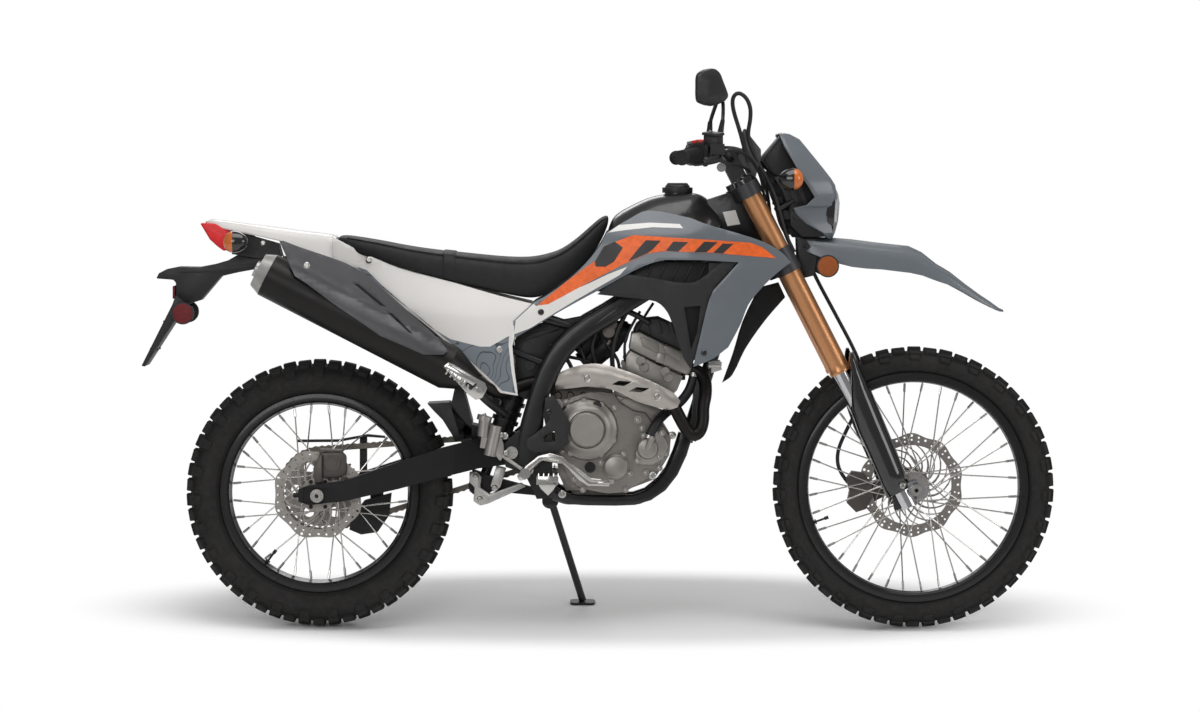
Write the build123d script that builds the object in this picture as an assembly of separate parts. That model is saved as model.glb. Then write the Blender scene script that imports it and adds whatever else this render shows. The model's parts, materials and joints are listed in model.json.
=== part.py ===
from build123d import *
import math
import os

# A dual sport motorcycle, upright in its own frame while it is modelled: x = 0 at the rear axle,
# +X forward, +Y to the rider's left, z = 0 at the floor. It is leaned onto its side stand at the end.

# ---- driving dimensions, mm ----
WHEELBASE = 1445.0
LEAN_DEG = 9.0
GAP = 0.3             # seat clearance between neighbouring pieces
FIT = 0.05            # radial clearance of a shaft in its bore
PANEL_T = 3.0         # wall of the plastic panels

TREAD_HALF = 16.0     # half width of the flat middle of either tread
LUG = 11.0            # height of the tread blocks
FRONT_LUGS = 36
REAR_LUGS = 32
RIM_WELL = 14.0       # bead seat below the rim's edge
REAR_R = 325.0        # rear tyre to the tips of its lugs
REAR_W = 120.0
REAR_RIM_R = 242.6
REAR_RIM_IN = 214.0
FRONT_R = 343.0       # front tyre to the tips of its lugs
FRONT_W = 84.0
FRONT_RIM_R = 280.7
FRONT_RIM_IN = 255.0
AXLE_R = 10.0
AXLE_BORE_R = 5.0
FRONT_SPOKES = 36
REAR_SPOKES = 32

CASTER_DEG = 27.2
FORK_Y = 96.0         # fork leg centre from the middle plane
AXLE_LEAD = 33.0      # axle ahead of the fork legs
CLAMP_OFFSET = 28.5   # fork legs ahead of the steering axis
FORK_TUBE_R = 25.5
FORK_INNER_R = 20.5
FORK_SEAL = 335.0     # along the leg, from the foot of the perpendicular at the axle
CLAMP_TOP = 812.0
CLAMP_TOP_H = 34.0
FORK_ABOVE = 4.0      # fork tubes standing above the top clamp
FORK_TOP = CLAMP_TOP + CLAMP_TOP_H + FORK_ABOVE
CLAMP_LOW = 606.0
CLAMP_LOW_H = 62.0
STEM_R = 15.0

CHAIN_Y = 76.0
SPROCKET_T = 5.0
REAR_SPROCKET_R = 101.2
FRONT_SPROCKET_R = 35.7
FRONT_SPROCKET = (548.0, 432.0)
CHAIN_PITCH = 15.875
CHAIN_H = 15.0

DISC_T = 4.0
WAVE = 6.0            # depth of the waves round the discs
DISC_HOLE_R = 3.6
FRONT_DISC_R = 128.0
FRONT_DISC_Y = 58.0
REAR_DISC_R = 110.0
REAR_DISC_Y = -76.0

PIVOT = (469.0, 430.0)        # swingarm pivot
PIVOT_HALF = 84.0
SHOCK_TOP = (520.0, 690.0)
SHOCK_EYE_HALF = 13.0
ARM_IN = 92.0
ARM_OUT = 120.0

BAR_R = 11.0
BAR_RISE = 70.0               # bar centre above the top clamp
BAR_BACK = 5.6                # and behind the fork legs
BAR_OPEN = 60.0               # free bar between the clamps
MIRROR_TURN = math.radians(30)
DOWNTUBE_R = 16.0
SPAR_R = 14.0
RAIL_R = 9.0
STAY_R = 8.0

STAND_PIVOT = (560.0, 112.0, 300.0)
STAND_TILT = 23.0
STAND_FORWARD = 80.0
STAND_THICK = 20.0

REAR_AXLE = (0.0, REAR_R)
FRONT_AXLE = (WHEELBASE, FRONT_R)

NODES = {}


# ---- ways of making shapes ----
def prism(points, y0, y1):
    """A side outline of (x, z) points, from y0 to y1."""
    face = make_face(Plane.XZ.offset(-y1) * Polyline(*points, close=True))
    return extrude(face, amount=y1 - y0, dir=(0, -1, 0))


def both(shape):
    """A left-hand solid and its mirror image on the right."""
    return [shape, shape.mirror(Plane.XZ)]


def rod(start, end, radius, bore=0.0):
    """A round bar or tube from start to end."""
    a = Vector(*start)
    b = Vector(*end)
    plane = Plane(origin=a, z_dir=b - a)
    bar = extrude(plane * Circle(radius), amount=(b - a).length)
    if bore:
        bar -= extrude(plane * Circle(bore), amount=(b - a).length)
    return bar


def bend(points, radius, corner):
    """A round tube along a path of 3-D points with rounded corners."""
    path = FilletPolyline(*points, radius=corner)
    start = path @ 0
    plane = Plane(origin=start, z_dir=path % 0)
    return sweep(plane * Circle(radius), path=path)


def turned(profile, centre):
    """A solid of revolution about the line along Y through (x, z); the profile is (radius, y)."""
    x, z = centre
    points = [(x, y, z + r) for r, y in profile]
    face = make_face(Polyline(*points, close=True))
    return revolve(face, axis=Axis((x, 0, z), (0, 1, 0)))


def disc(centre, radius, y0, y1):
    """A cylinder along Y from y0 to y1."""
    x, z = centre
    return extrude(Plane(origin=(x, y1, z), z_dir=(0, -1, 0)) * Circle(radius), amount=y1 - y0)


def skin(stations, thickness, sink=0.0):
    """A bent plate through sections across X; each is x and the (y, z) of its outer face.
    Sink lays it that much further in, under another skin of the same stations."""
    faces = []
    for x, outer in stations:
        inner = [(y - sink - thickness, z) for y, z in reversed(outer)]
        ring = [(y - sink, z) for y, z in outer] + inner
        faces.append(make_face(Polyline(*[(x, y, z) for y, z in ring], close=True)))
    return loft(faces, ruled=True)


def boss(stations, x, z, y0, radius):
    """A round boss from y0 out to the inner face of a skin of these stations."""
    return disc((x, z), radius, y0, 200) & skin(stations, 150, sink=PANEL_T + GAP)


def hull_loft(stations):
    """A solid through closed sections across X; each is x and half the (y, z) outline, top to bottom."""
    faces = []
    for x, half in stations:
        ring = [(x, y, z) for y, z in half] + [(x, -y, z) for y, z in reversed(half) if y > 0]
        faces.append(make_face(Polyline(*ring, close=True)))
    return loft(faces, ruled=True)


def box(x0, x1, y0, y1, z0, z1):
    return Pos((x0 + x1) / 2, (y0 + y1) / 2, (z0 + z1) / 2) * Box(x1 - x0, y1 - y0, z1 - z0)


# ---- the fork's own frame: local x ahead, y left, z up along the leg ----
caster = math.radians(CASTER_DEG)
AHEAD = Vector(math.cos(caster), 0, math.sin(caster))
UP = Vector(-math.sin(caster), 0, math.cos(caster))
FRONT_CENTRE = Vector(FRONT_AXLE[0], 0, FRONT_AXLE[1])
LEG_FOOT = FRONT_CENTRE - AHEAD * AXLE_LEAD
STEER_FOOT = LEG_FOOT - AHEAD * CLAMP_OFFSET
cylinder_tilt = math.radians(17)
CYLINDER = Plane(origin=(757, 0, 530), x_dir=(math.cos(cylinder_tilt), 0, -math.sin(cylinder_tilt)),
                 z_dir=(math.sin(cylinder_tilt), 0, math.cos(cylinder_tilt)))
LEG = Plane(origin=LEG_FOOT, x_dir=AHEAD, z_dir=UP)
BAR_CENTRE = LEG_FOOT - AHEAD * BAR_BACK + UP * (CLAMP_TOP + CLAMP_TOP_H + BAR_RISE)
HEAD_MID = STEER_FOOT + UP * (CLAMP_LOW + CLAMP_LOW_H + CLAMP_TOP) / 2
DOWN_HIGH = HEAD_MID - Vector(15, 0, 40)
DOWN_LOW = Vector(892, 0, 452)
SPAR_HIGH = Vector(880, 60, 868)
SPAR_LOW = Vector(722, 95, 775)


stand_tilt = math.radians(STAND_TILT)
stand_axis = Vector(0, math.cos(stand_tilt), math.sin(stand_tilt))
stand_pivot = Vector(*STAND_PIVOT)


def leg_cylinder(y, s0, s1, radius, ahead=0.0):
    """A cylinder along the fork leg from s0 to s1."""
    return LEG * Pos(ahead, y, (s0 + s1) / 2) * Cylinder(radius, s1 - s0)


def leg_box(x0, x1, y0, y1, s0, s1):
    return LEG * Pos((x0 + x1) / 2, (y0 + y1) / 2, (s0 + s1) / 2) * Box(x1 - x0, y1 - y0, s1 - s0)


# ---- wheels ----
def flat(points):
    """A flat face through corners that lie in one plane."""
    return Face(Wire.make_polygon(points, close=True))


def tyre(centre, tip_r, width, rim_r, lugs):
    """A lugged tyre of flat faces, on which middle blocks and shoulder blocks take turns. A half profile
    is (radius, y) from the bead to the middle; walls close the blocks where one zone meets the next."""
    x, z = centre
    w = width / 2
    h = tip_r - rim_r
    wall = [(rim_r - RIM_WELL + GAP, 0.44 * w), (rim_r + 1, 0.46 * w), (rim_r + 0.28 * h, 0.90 * w),
            (rim_r + 0.62 * h, w)]
    root = (tip_r - LUG, 0.44 * w)
    block = [(rim_r + 0.85 * h, 0.90 * w), (tip_r - 3.5, 0.56 * w)]
    middle = wall + [root, (tip_r, TREAD_HALF)]
    shoulder = wall + block + [root]
    step = math.pi / lugs
    grow = 1 / math.cos(step / 2)

    def corners(profile, angle, side=1):
        return [Vector(x + r * grow * math.sin(angle), side * y, z - r * grow * math.cos(angle)) for r,
                y in profile]

    faces = []
    for i in range(2 * lugs):
        half = shoulder if i % 2 else middle
        ring = half + [(r, -y) for r, y in reversed(half)]
        here = corners(ring, (i - 0.5) * step)
        ahead = corners(ring, (i + 0.5) * step)
        for k in range(len(ring)):
            faces.append(flat([here[k - 1], here[k], ahead[k], ahead[k - 1]]))
        middle_end = [root, (tip_r, TREAD_HALF), (tip_r, -TREAD_HALF), (root[0], -root[1])]
        faces.append(flat(corners(middle_end, (i - 0.5) * step)))
        for side in (1, -1):
            faces.append(flat(corners([wall[-1]] + block + [root], (i - 0.5) * step, side)))
    return Solid(Shell(faces))


def rim(centre, rim_r, rim_in, width):
    w = 0.46 * width / 2 + GAP
    seat = rim_r - RIM_WELL
    profile = [
        (rim_in, -8), (rim_in, 8), (seat - 6, w + 3), (rim_r, w + 4), (rim_r, w + 1), (seat, w - 1),
        (seat, 1 - w), (rim_r, -w - 1), (rim_r, -w - 4), (seat - 6, -w - 3),
    ]
    return turned(profile, centre)


def spokes(centre, count, flange_r, flange_y, rim_in, rim_y, radius):
    """Crossed spokes from both flanges to the rim, alternately leaning forward and back."""
    x, z = centre
    made = []
    for i in range(count):
        side = 1 if i % 2 == 0 else -1
        cross = 1 if (i // 2) % 2 == 0 else -1
        end = 2 * math.pi * (i + 0.5) / count
        start = end + cross * math.radians(62)
        a = (x + flange_r * math.cos(start), side * flange_y, z + flange_r * math.sin(start))
        b = (x + rim_in * math.cos(end), side * rim_y, z + rim_in * math.sin(end))
        plane = Plane(origin=a, z_dir=Vector(*b) - Vector(*a))
        length = (Vector(*b) - Vector(*a)).length
        made.append(extrude(plane * RegularPolygon(radius, 4), amount=length))
    return made


def brake_disc(centre, y0, radius, ring_in, boss_r, bore_r, arms):
    """A wave-edged ring with holes, carried by swept arms on its boss."""
    x, z = centre
    points = []
    for i in range(arms * 6):
        angle = 2 * math.pi * i / (arms * 6)
        r = radius - WAVE * (1 + math.cos(arms * angle)) / 2
        points.append((x + r * math.cos(angle), z + r * math.sin(angle)))
    ring = prism(points, y0, y0 + DISC_T) - disc(centre, ring_in, y0 - 1, y0 + DISC_T + 1)
    boss_ring = disc(centre, boss_r, y0, y0 + DISC_T)
    for i in range(arms):
        turn = Pos(x, y0 + DISC_T / 2, z) * Rot(0, 360 * i / arms, 0)
        arm = Pos((boss_r + ring_in) / 2, 0, 0) * Rot(0, 24, 0) * Box(ring_in - boss_r + 16, DISC_T, 7)
        boss_ring += turn * arm
        hole = Pos((radius - WAVE + ring_in) / 2, 0, 0) * Rot(90, 0, 0) * Cylinder(DISC_HOLE_R, DISC_T + 2)
        ring -= turn * hole
        ring -= Pos(x, y0 + DISC_T / 2, z) * Rot(0, 360 * (i + 0.5) / arms, 0) * hole
    return ring + boss_ring - disc(centre, bore_r, y0 - 1, y0 + DISC_T + 1)


def sprocket(centre, y0, tip_r, teeth, bore_r):
    """A toothed wheel lightened by round windows."""
    x, z = centre
    points = []
    for i in range(teeth):
        for share, r in ((0.0, tip_r - 6), (0.34, tip_r - 6), (0.56, tip_r), (0.78, tip_r)):
            angle = 2 * math.pi * (i + share) / teeth
            points.append((x + r * math.cos(angle), z + r * math.sin(angle)))
    plate = prism(points, y0, y0 + SPROCKET_T) - disc(centre, bore_r, y0 - 1, y0 + SPROCKET_T + 1)
    for i in range(6):
        angle = 2 * math.pi * i / 6
        window = (x + 0.66 * tip_r * math.cos(angle), z + 0.66 * tip_r * math.sin(angle))
        plate -= disc(window, 0.13 * tip_r, y0 - 1, y0 + SPROCKET_T + 1)
    return plate


def front_wheel():
    c = FRONT_AXLE
    NODES["front_tyre"] = tyre(c, FRONT_R, FRONT_W, FRONT_RIM_R, FRONT_LUGS)
    NODES["front_rim"] = rim(c, FRONT_RIM_R, FRONT_RIM_IN, FRONT_W)
    disc_face = FRONT_DISC_Y - DISC_T / 2
    hub = turned([(AXLE_R + FIT, -52), (16, -52), (20, -34), (38, -32), (38, -28), (22, -24), (22, 24),
                  (38, 28), (38, 32), (30, 36), (30, disc_face), (20, disc_face), (20, 64),
                  (AXLE_R + FIT, 64)], c)
    hub += spokes(c, FRONT_SPOKES, 35, 30, FRONT_RIM_IN - 1, 5, 1.9)
    NODES["front_hub"] = hub
    NODES["front_disc"] = brake_disc(c, disc_face, FRONT_DISC_R, 102, 44, 20 + FIT, 10)


def rear_wheel():
    c = REAR_AXLE
    NODES["rear_tyre"] = tyre(c, REAR_R, REAR_W, REAR_RIM_R, REAR_LUGS)
    NODES["rear_rim"] = rim(c, REAR_RIM_R, REAR_RIM_IN, REAR_W)
    left = CHAIN_Y - SPROCKET_T / 2
    right = REAR_DISC_Y + DISC_T / 2
    hub = turned([(AXLE_R + FIT, -86), (24, -86), (24, right), (40, right), (40, -46), (48, -38), (48, -32),
                  (30, -28), (30, 28), (48, 32), (48, 38), (44, 46), (44, left), (28, left), (28, 86),
                  (AXLE_R + FIT, 86)], c)
    hub += spokes(c, REAR_SPOKES, 45, 35, REAR_RIM_IN - 1, 5, 2.0)
    NODES["rear_hub"] = hub
    NODES["rear_disc"] = brake_disc(c, right - DISC_T, REAR_DISC_R, 84, 42, 24 + FIT, 8)
    teeth = round(2 * math.pi * REAR_SPROCKET_R / CHAIN_PITCH)
    NODES["rear_sprocket"] = sprocket(c, left, REAR_SPROCKET_R - 6, teeth, 28 + FIT)


# ---- drive ----
span = math.dist(REAR_AXLE, FRONT_SPROCKET)
run_tilt = math.atan2(FRONT_SPROCKET[1] - REAR_AXLE[1], FRONT_SPROCKET[0] - REAR_AXLE[0])
wrap = math.acos((REAR_SPROCKET_R - FRONT_SPROCKET_R) / span)
RUN = math.sqrt(span ** 2 - (REAR_SPROCKET_R - FRONT_SPROCKET_R) ** 2)
CHAIN_LENGTH = 2 * RUN + 2 * wrap * FRONT_SPROCKET_R + 2 * (math.pi - wrap) * REAR_SPROCKET_R


def on_chain(distance, offset):
    """A point (x, z) along the chain from the top of the rear sprocket, set out from the pitch line."""
    def round_wheel(wheel, radius, angle):
        return (wheel[0] + (radius + offset) * math.cos(angle),
                wheel[1] + (radius + offset) * math.sin(angle))

    def on_run(angle, share):
        a = round_wheel(REAR_AXLE, REAR_SPROCKET_R, angle)
        b = round_wheel(FRONT_SPROCKET, FRONT_SPROCKET_R, angle)
        return (a[0] + (b[0] - a[0]) * share, a[1] + (b[1] - a[1]) * share)

    front_arc = 2 * wrap * FRONT_SPROCKET_R
    if distance < RUN:
        return on_run(run_tilt + wrap, distance / RUN)
    if distance < RUN + front_arc:
        return round_wheel(FRONT_SPROCKET, FRONT_SPROCKET_R,
                           run_tilt + wrap - (distance - RUN) / FRONT_SPROCKET_R)
    if distance < 2 * RUN + front_arc:
        return on_run(run_tilt - wrap, 1 - (distance - RUN - front_arc) / RUN)
    turned_by = (distance - 2 * RUN - front_arc) / REAR_SPROCKET_R
    return round_wheel(REAR_AXLE, REAR_SPROCKET_R, run_tilt - wrap - turned_by)


def arm_line(x):
    """Height of the line from the axle to the swingarm's pivot."""
    return REAR_AXLE[1] + (PIVOT[1] - REAR_AXLE[1]) * x / PIVOT[0]


def arm_edge(x, side):
    """Top (1) or underside (-1) of the left arm between its stations at 61 and 195, with the clearance."""
    near, far = (17.3, 31.3) if side > 0 else (27.7, 27.7)
    return arm_line(x) + side * (near + (far - near) * (x - 61) / (195 - 61) + GAP)


def above_axle(points):
    """Points given from the rear axle."""
    return [(REAR_AXLE[0] + x, REAR_AXLE[1] + z) for x, z in points]


def chain():
    half = CHAIN_H / 2
    waist = half - 2.5
    links = round(CHAIN_LENGTH / CHAIN_PITCH)
    places = [(CHAIN_LENGTH * i / (2 * links), half if i % 2 else waist) for i in range(2 * links)]
    band = prism([on_chain(d, reach) for d, reach in places], CHAIN_Y - 5.2, CHAIN_Y + 5.2)
    band -= prism([on_chain(d, -half) for d, reach in places if reach == half], CHAIN_Y - 6, CHAIN_Y + 6)
    groove = SPROCKET_T / 2 + 0.7
    for wheel, radius in ((REAR_AXLE, REAR_SPROCKET_R), (FRONT_SPROCKET, FRONT_SPROCKET_R)):
        band -= disc(wheel, radius - half + 3, CHAIN_Y - groove, CHAIN_Y + groove)
    NODES["chain"] = [band, disc(FRONT_SPROCKET, FRONT_SPROCKET_R - 6, 66 + GAP, CHAIN_Y + SPROCKET_T / 2)]
    guard = prism(above_axle([(-60, 123), (40, 124), (112, 137), (155, 133), (155, 128), (110, 131),
                              (40, 118), (-60, 117)]), CHAIN_Y - 9, CHAIN_Y + 12)
    foot = prism([(92, arm_edge(92, 1)), (110, arm_edge(110, 1)), (110, REAR_AXLE[1] + 130),
                  (92, REAR_AXLE[1] + 130)], CHAIN_Y + 10, ARM_IN + 8)
    guide = prism(above_axle([(73, -63), (105, -25), (171, -7), (165, -63), (137, -103), (97, -109),
                              (68, -97)]), CHAIN_Y - 12, CHAIN_Y + 14)
    low_run = [on_chain(CHAIN_LENGTH - (math.pi - wrap) * 2 * REAR_SPROCKET_R - d, side * (half + 2))
               for d, side in ((30, -1), (260, -1), (260, 1), (30, 1))]
    guide -= prism(low_run, CHAIN_Y - 7, CHAIN_Y + 7)
    guide -= disc(REAR_AXLE, REAR_SPROCKET_R + 1, CHAIN_Y - 6, CHAIN_Y + 6)
    guide += prism([(118, REAR_AXLE[1] - 24), (118, arm_edge(118, -1)), (150, arm_edge(150, -1)),
                    (150, REAR_AXLE[1] - 24)], CHAIN_Y + 10, ARM_IN + 8)
    NODES["chain_guards"] = [guard + foot, guide]


# ---- frame and swingarm ----
def frame():
    head_low = STEER_FOOT + UP * (CLAMP_LOW + CLAMP_LOW_H + 3)
    head_high = STEER_FOOT + UP * (CLAMP_TOP - 3)
    pieces = [rod(head_low, head_high, 30), rod(DOWN_HIGH, DOWN_LOW, DOWNTUBE_R)]
    for side in (1, -1):
        pieces.append(bend([(HEAD_MID.X - 10, side * 12, HEAD_MID.Z - 10),
                            (SPAR_HIGH.X, side * SPAR_HIGH.Y, SPAR_HIGH.Z),
                            (SPAR_LOW.X, side * SPAR_LOW.Y, SPAR_LOW.Z), (600, side * 97, 690),
                            (530, side * 97, 560), (505, side * 97, 400)], SPAR_R, 60))
        plate = prism([(470, 470), (506, 500), (520, 540), (556, 556), (566, 480), (566, 400), (560, 320),
                       (530, 318), (500, 380), (455, 395), (440, 440)], side * 97 - 12, side * 97 + 12)
        pieces.append(plate - prism([(520, 500), (545, 520), (556, 470), (540, 450), (520, 462)], -130, 130))
        pieces.append(bend([(545, side * 97, 335), (600, side * 60, 312), (780, side * 50, 312),
                            (850, side * 22, 372), (890, side * 2, 455)], 11, 30))
    shape = pieces[0]
    for piece in pieces[1:]:
        shape += piece
    shape += rod((560, -90, 322), (560, 90, 322), 10)
    shape += rod((605, -90, 696), (605, 90, 696), 12)
    for side in (1, -1):
        near, far = sorted((side * (SHOCK_EYE_HALF + GAP), side * (SHOCK_EYE_HALF + 6)))
        shape += prism([(SHOCK_TOP[0] - 14, 680), (SHOCK_TOP[0] - 14, 700), (605, 708), (605, 684)], near,
                       far)
    shape += stand_mount()
    shape -= rod(STEER_FOOT + UP * 500, STEER_FOOT + UP * 900, STEM_R + FIT)
    shape -= disc(PIVOT, 9 + FIT, -130, 130)
    NODES["frame"] = shape


def subframe():
    rails = []
    for side in (1, -1):
        rails.append(bend([(640, side * 73, 722), (430, side * 73, 790), (60, side * 62, 868),
                           (-88, side * 46, 893)], RAIL_R, 40))
        rails.append(bend([(545, side * 74, 645), (400, side * 74, 700), (200, side * 68, 832)], STAY_R, 40))
    shape = rails[0]
    for piece in rails[1:]:
        shape += piece
    for x, z, half in ((-80, 891, 46), (100, 860, 62), (420, 792, 72)):
        shape += rod((x, -half, z), (x, half, z), 7)
    NODES["subframe"] = shape


def swingarm():
    arms = []
    # x, then how far the right top, the left top and the underside stand off the arm's line
    stations = [(480, 25.5, 3.5, 30.5), (389, 49.9, 21.9, 22.1), (292, 47.6, 31.6, 23.4),
                (195, 37.3, 31.3, 27.7), (61, 21.3, 17.3, 27.7), (-20, 29.5, 29.5, 18.5),
                (-45, 25.1, 25.1, 4.9)]
    underside = [(x, arm_line(x) - low) for x, _, _, low in reversed(stations)]
    right_profile = [(x, arm_line(x) + top) for x, top, _, _ in stations] + underside
    left_profile = [(x, arm_line(x) + top) for x, _, top, _ in stations] + underside
    plan_in = [(500, 40), (440, 50), (380, 66), (330, 72), (100, ARM_IN), (-60, ARM_IN)]
    plan_out = [(-60, ARM_OUT), (100, ARM_OUT), (330, 100), (420, 80), (500, 72)]
    plan = extrude(make_face(Polyline(*[(x, y) for x, y in plan_in + plan_out], close=True)), amount=600,
                   dir=(0, 0, 1))
    arms.append(prism(left_profile, 0, 200) & plan)
    arms.append(prism(right_profile, -200, 0) & plan.mirror(Plane.XZ))
    shape = disc(PIVOT, 27, -PIVOT_HALF, 68) + disc(PIVOT, 20, 66, PIVOT_HALF)
    shape += arms[0]
    shape += arms[1]
    shape += box(345, 372, -75, 75, 396, 428)
    for side in (1, -1):
        near, far = sorted((side * (ARM_OUT - 6), side * (ARM_OUT + 8)))
        slot = above_axle([(-34, -19), (40, -19), (40, 19), (-34, 19)])
        shape -= prism(slot, near, far)
        shape += rod((-45, side * (ARM_IN + ARM_OUT) / 2, REAR_R),
                     (-58, side * (ARM_IN + ARM_OUT) / 2, REAR_R), 6)
    shape -= disc(PIVOT, 9 + FIT, -130, 130)
    shape -= disc(REAR_AXLE, AXLE_R + FIT, -130, 130)
    NODES["swingarm"] = shape
    bolt = disc(PIVOT, 9, -118, 118)
    bolt += disc(PIVOT, 15, 109 + GAP, 118) + disc(PIVOT, 15, -118, -109 - GAP)
    return bolt


def rear_axle(pivot_bolt):
    shape = disc(REAR_AXLE, AXLE_R, -136, 136)
    for side in (1, -1):
        near, far = sorted((side * (ARM_OUT + GAP), side * 130))
        shape += disc(REAR_AXLE, 16, near, far)
        near, far = sorted((side * (86 + GAP), side * (ARM_IN - GAP)))
        shape += disc(REAR_AXLE, 17, near, far)
    shape -= disc(REAR_AXLE, AXLE_BORE_R, -140, 140)
    NODES["rear_axle"] = [shape, pivot_bolt]


def shock():
    low = (403, 0, 372)
    high = SHOCK_TOP
    body = rod(low, (high[0], 0, high[1]), 12)
    body += disc(SHOCK_TOP, 15, -SHOCK_EYE_HALF, SHOCK_EYE_HALF)
    line = Vector(high[0], 0, high[1]) - Vector(*low)
    at = lambda share: tuple(Vector(*low) + line * share)
    body += rod(at(0.315), at(0.82), 27)
    for i in range(7):
        body += rod(at(0.325 + 0.07 * i), at(0.355 + 0.07 * i), 33)
    NODES["shock"] = body
    link = prism([(362, 345), (372, 382), (391, 375.6), (415, 366.8), (430, 362), (549.7, 330), (549.7, 318),
                  (420, 330), (392, 308), (365, 330)], -22, 22)
    NODES["shock_linkage"] = link


# ---- engine ----
CASE_RIGHT = -68.0
CASE_LEFT = 64.0
HEAD_FRONT = 74.0     # front face of the head in the cylinder's frame


def cover(centre, profile, seat, side):
    """A round cover turned on a case face: the profile is (radius, height) from its foot to its middle."""
    points = [(r, seat + side * height) for r, height in profile]
    points = [(0, seat)] + points + [(0, seat + side * profile[-1][1])]
    return turned(points, centre)


def engine():
    outline = [(585, 556), (681, 575), (760, 560), (830, 506), (852, 470), (850, 423), (814, 363), (753, 340),
               (600, 336), (582, 375), (576, 430), (582, 480)]
    cases = prism(outline, CASE_RIGHT + 6, CASE_LEFT - 6)
    rim_in = [(x + (700 - x) * 0.05, z + (450 - z) * 0.05) for x, z in outline]
    cases += prism(rim_in, CASE_RIGHT, CASE_LEFT)
    cases += prism([(600, 345), (752, 350), (740, 324), (620, 324)], -40, 40)
    NODES["engine_cases"] = cases
    NODES["engine_covers"] = [right_cover(), left_cover()]
    barrel = CYLINDER * Pos(0, 0, 50) * Box(104, 116, 150) - cases
    for level in (66, 84, 102, 118):
        barrel += CYLINDER * Pos(0, 0, level) * Box(112, 124, 8)
    NODES["cylinder"] = barrel
    NODES["cylinder_head"] = cylinder_head()
    throttle = rod((650, 0, 741), (752, 0, 714), 24) + rod((690, -30, 730), (690, 30, 730), 20)
    throttle += rod((664, 0, 737), (682, 0, 732), 28) + rod((724, 0, 721), (742, 0, 716), 28)
    air_box = box(215, 415, -56, 56, 700, 776) + box(230, 400, -60, 60, 708, 770)
    for side in (1, -1):
        near, far = sorted((side * 50, side * (68 + (285 - 200) * 0.03 - STAY_R - GAP)))
        air_box += box(285, 305, near, far, 764, 778)
    NODES["intake"] = [throttle - NODES["cylinder_head"], air_box]


def right_cover():
    """The clutch side: a cast cover with round caps for the clutch, the oil filter and the pump."""
    shape = prism([(700, 420), (770, 392), (820, 404), (840, 440), (838, 510), (790, 548), (730, 548),
                   (690, 530)], CASE_RIGHT - 16, CASE_RIGHT)
    shape += cover((652, 484), [(80, 0), (80, 22), (72, 32), (54, 32), (54, 29), (50, 29), (47, 38),
                                (40, 42)], CASE_RIGHT, -1)
    shape += cover((720, 394), [(34, 0), (34, 14), (31, 24), (24, 27)], CASE_RIGHT, -1)
    shape += cover((796, 432), [(30, 16), (30, 24), (24, 30), (16, 30), (14, 36)], CASE_RIGHT, -1)
    shape += cover((658, 399), [(12, 0), (12, 10), (8, 14)], CASE_RIGHT, -1)
    shape += cover((671, 542), [(14, 0), (14, 36), (11, 40)], CASE_RIGHT, -1)
    for i in range(6):
        angle = math.radians(30 + i * 60)
        shape += disc((652 + 80 * math.cos(angle), 484 + 80 * math.sin(angle)), 7, CASE_RIGHT - 24,
                      CASE_RIGHT)
    for x, z in ((712, 534), (770, 542), (828, 500), (832, 446), (812, 410), (764, 398)):
        shape += disc((x, z), 6.5, CASE_RIGHT - 20, CASE_RIGHT)
    shape += rod((796, CASE_RIGHT - 24, 440), (846, CASE_RIGHT - 24, 492), 9)
    return shape


def left_cover():
    """The generator side: a round cover on a flange with its bolt bosses."""
    shape = cover((745, 450), [(72, 0), (72, 8), (64, 10), (62, 26), (52, 34), (30, 34), (28, 38)],
                  CASE_LEFT, 1)
    for i in range(8):
        angle = math.radians(10 + i * 45)
        shape += disc((745 + 68 * math.cos(angle), 450 + 68 * math.sin(angle)), 7, CASE_LEFT, CASE_LEFT + 13)
    return shape + cover((662, 432), [(20, 0), (20, 8), (14, 12)], CASE_LEFT, 1)


def cylinder_head():
    """Head and cam cover as two cast blocks, with their side bosses, in the cylinder's frame."""
    lower = CYLINDER * prism([(-58, 125), (HEAD_FRONT, 125), (HEAD_FRONT, 168), (66, 176), (-52, 176),
                              (-58, 168)], -66, 66)
    upper = CYLINDER * prism([(-50, 176), (-52, 196), (-34, 210), (0, 217), (36, 212), (60, 196), (62, 176)],
                             -60, 60)
    shape = lower + upper + CYLINDER * prism([(-62, 176), (HEAD_FRONT, 176), (HEAD_FRONT, 182), (-62, 182)],
                                             -64, 64)
    for x, z, radius, reach in ((-20, 150, 12, 74), (34, 150, 12, 74), (8, 196, 16, 68), (-38, 138, 8, 70)):
        shape += CYLINDER * disc((x, z), radius, -reach, reach)
    return shape + CYLINDER * Pos(8, 0, 222) * Cylinder(13, 20)


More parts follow.
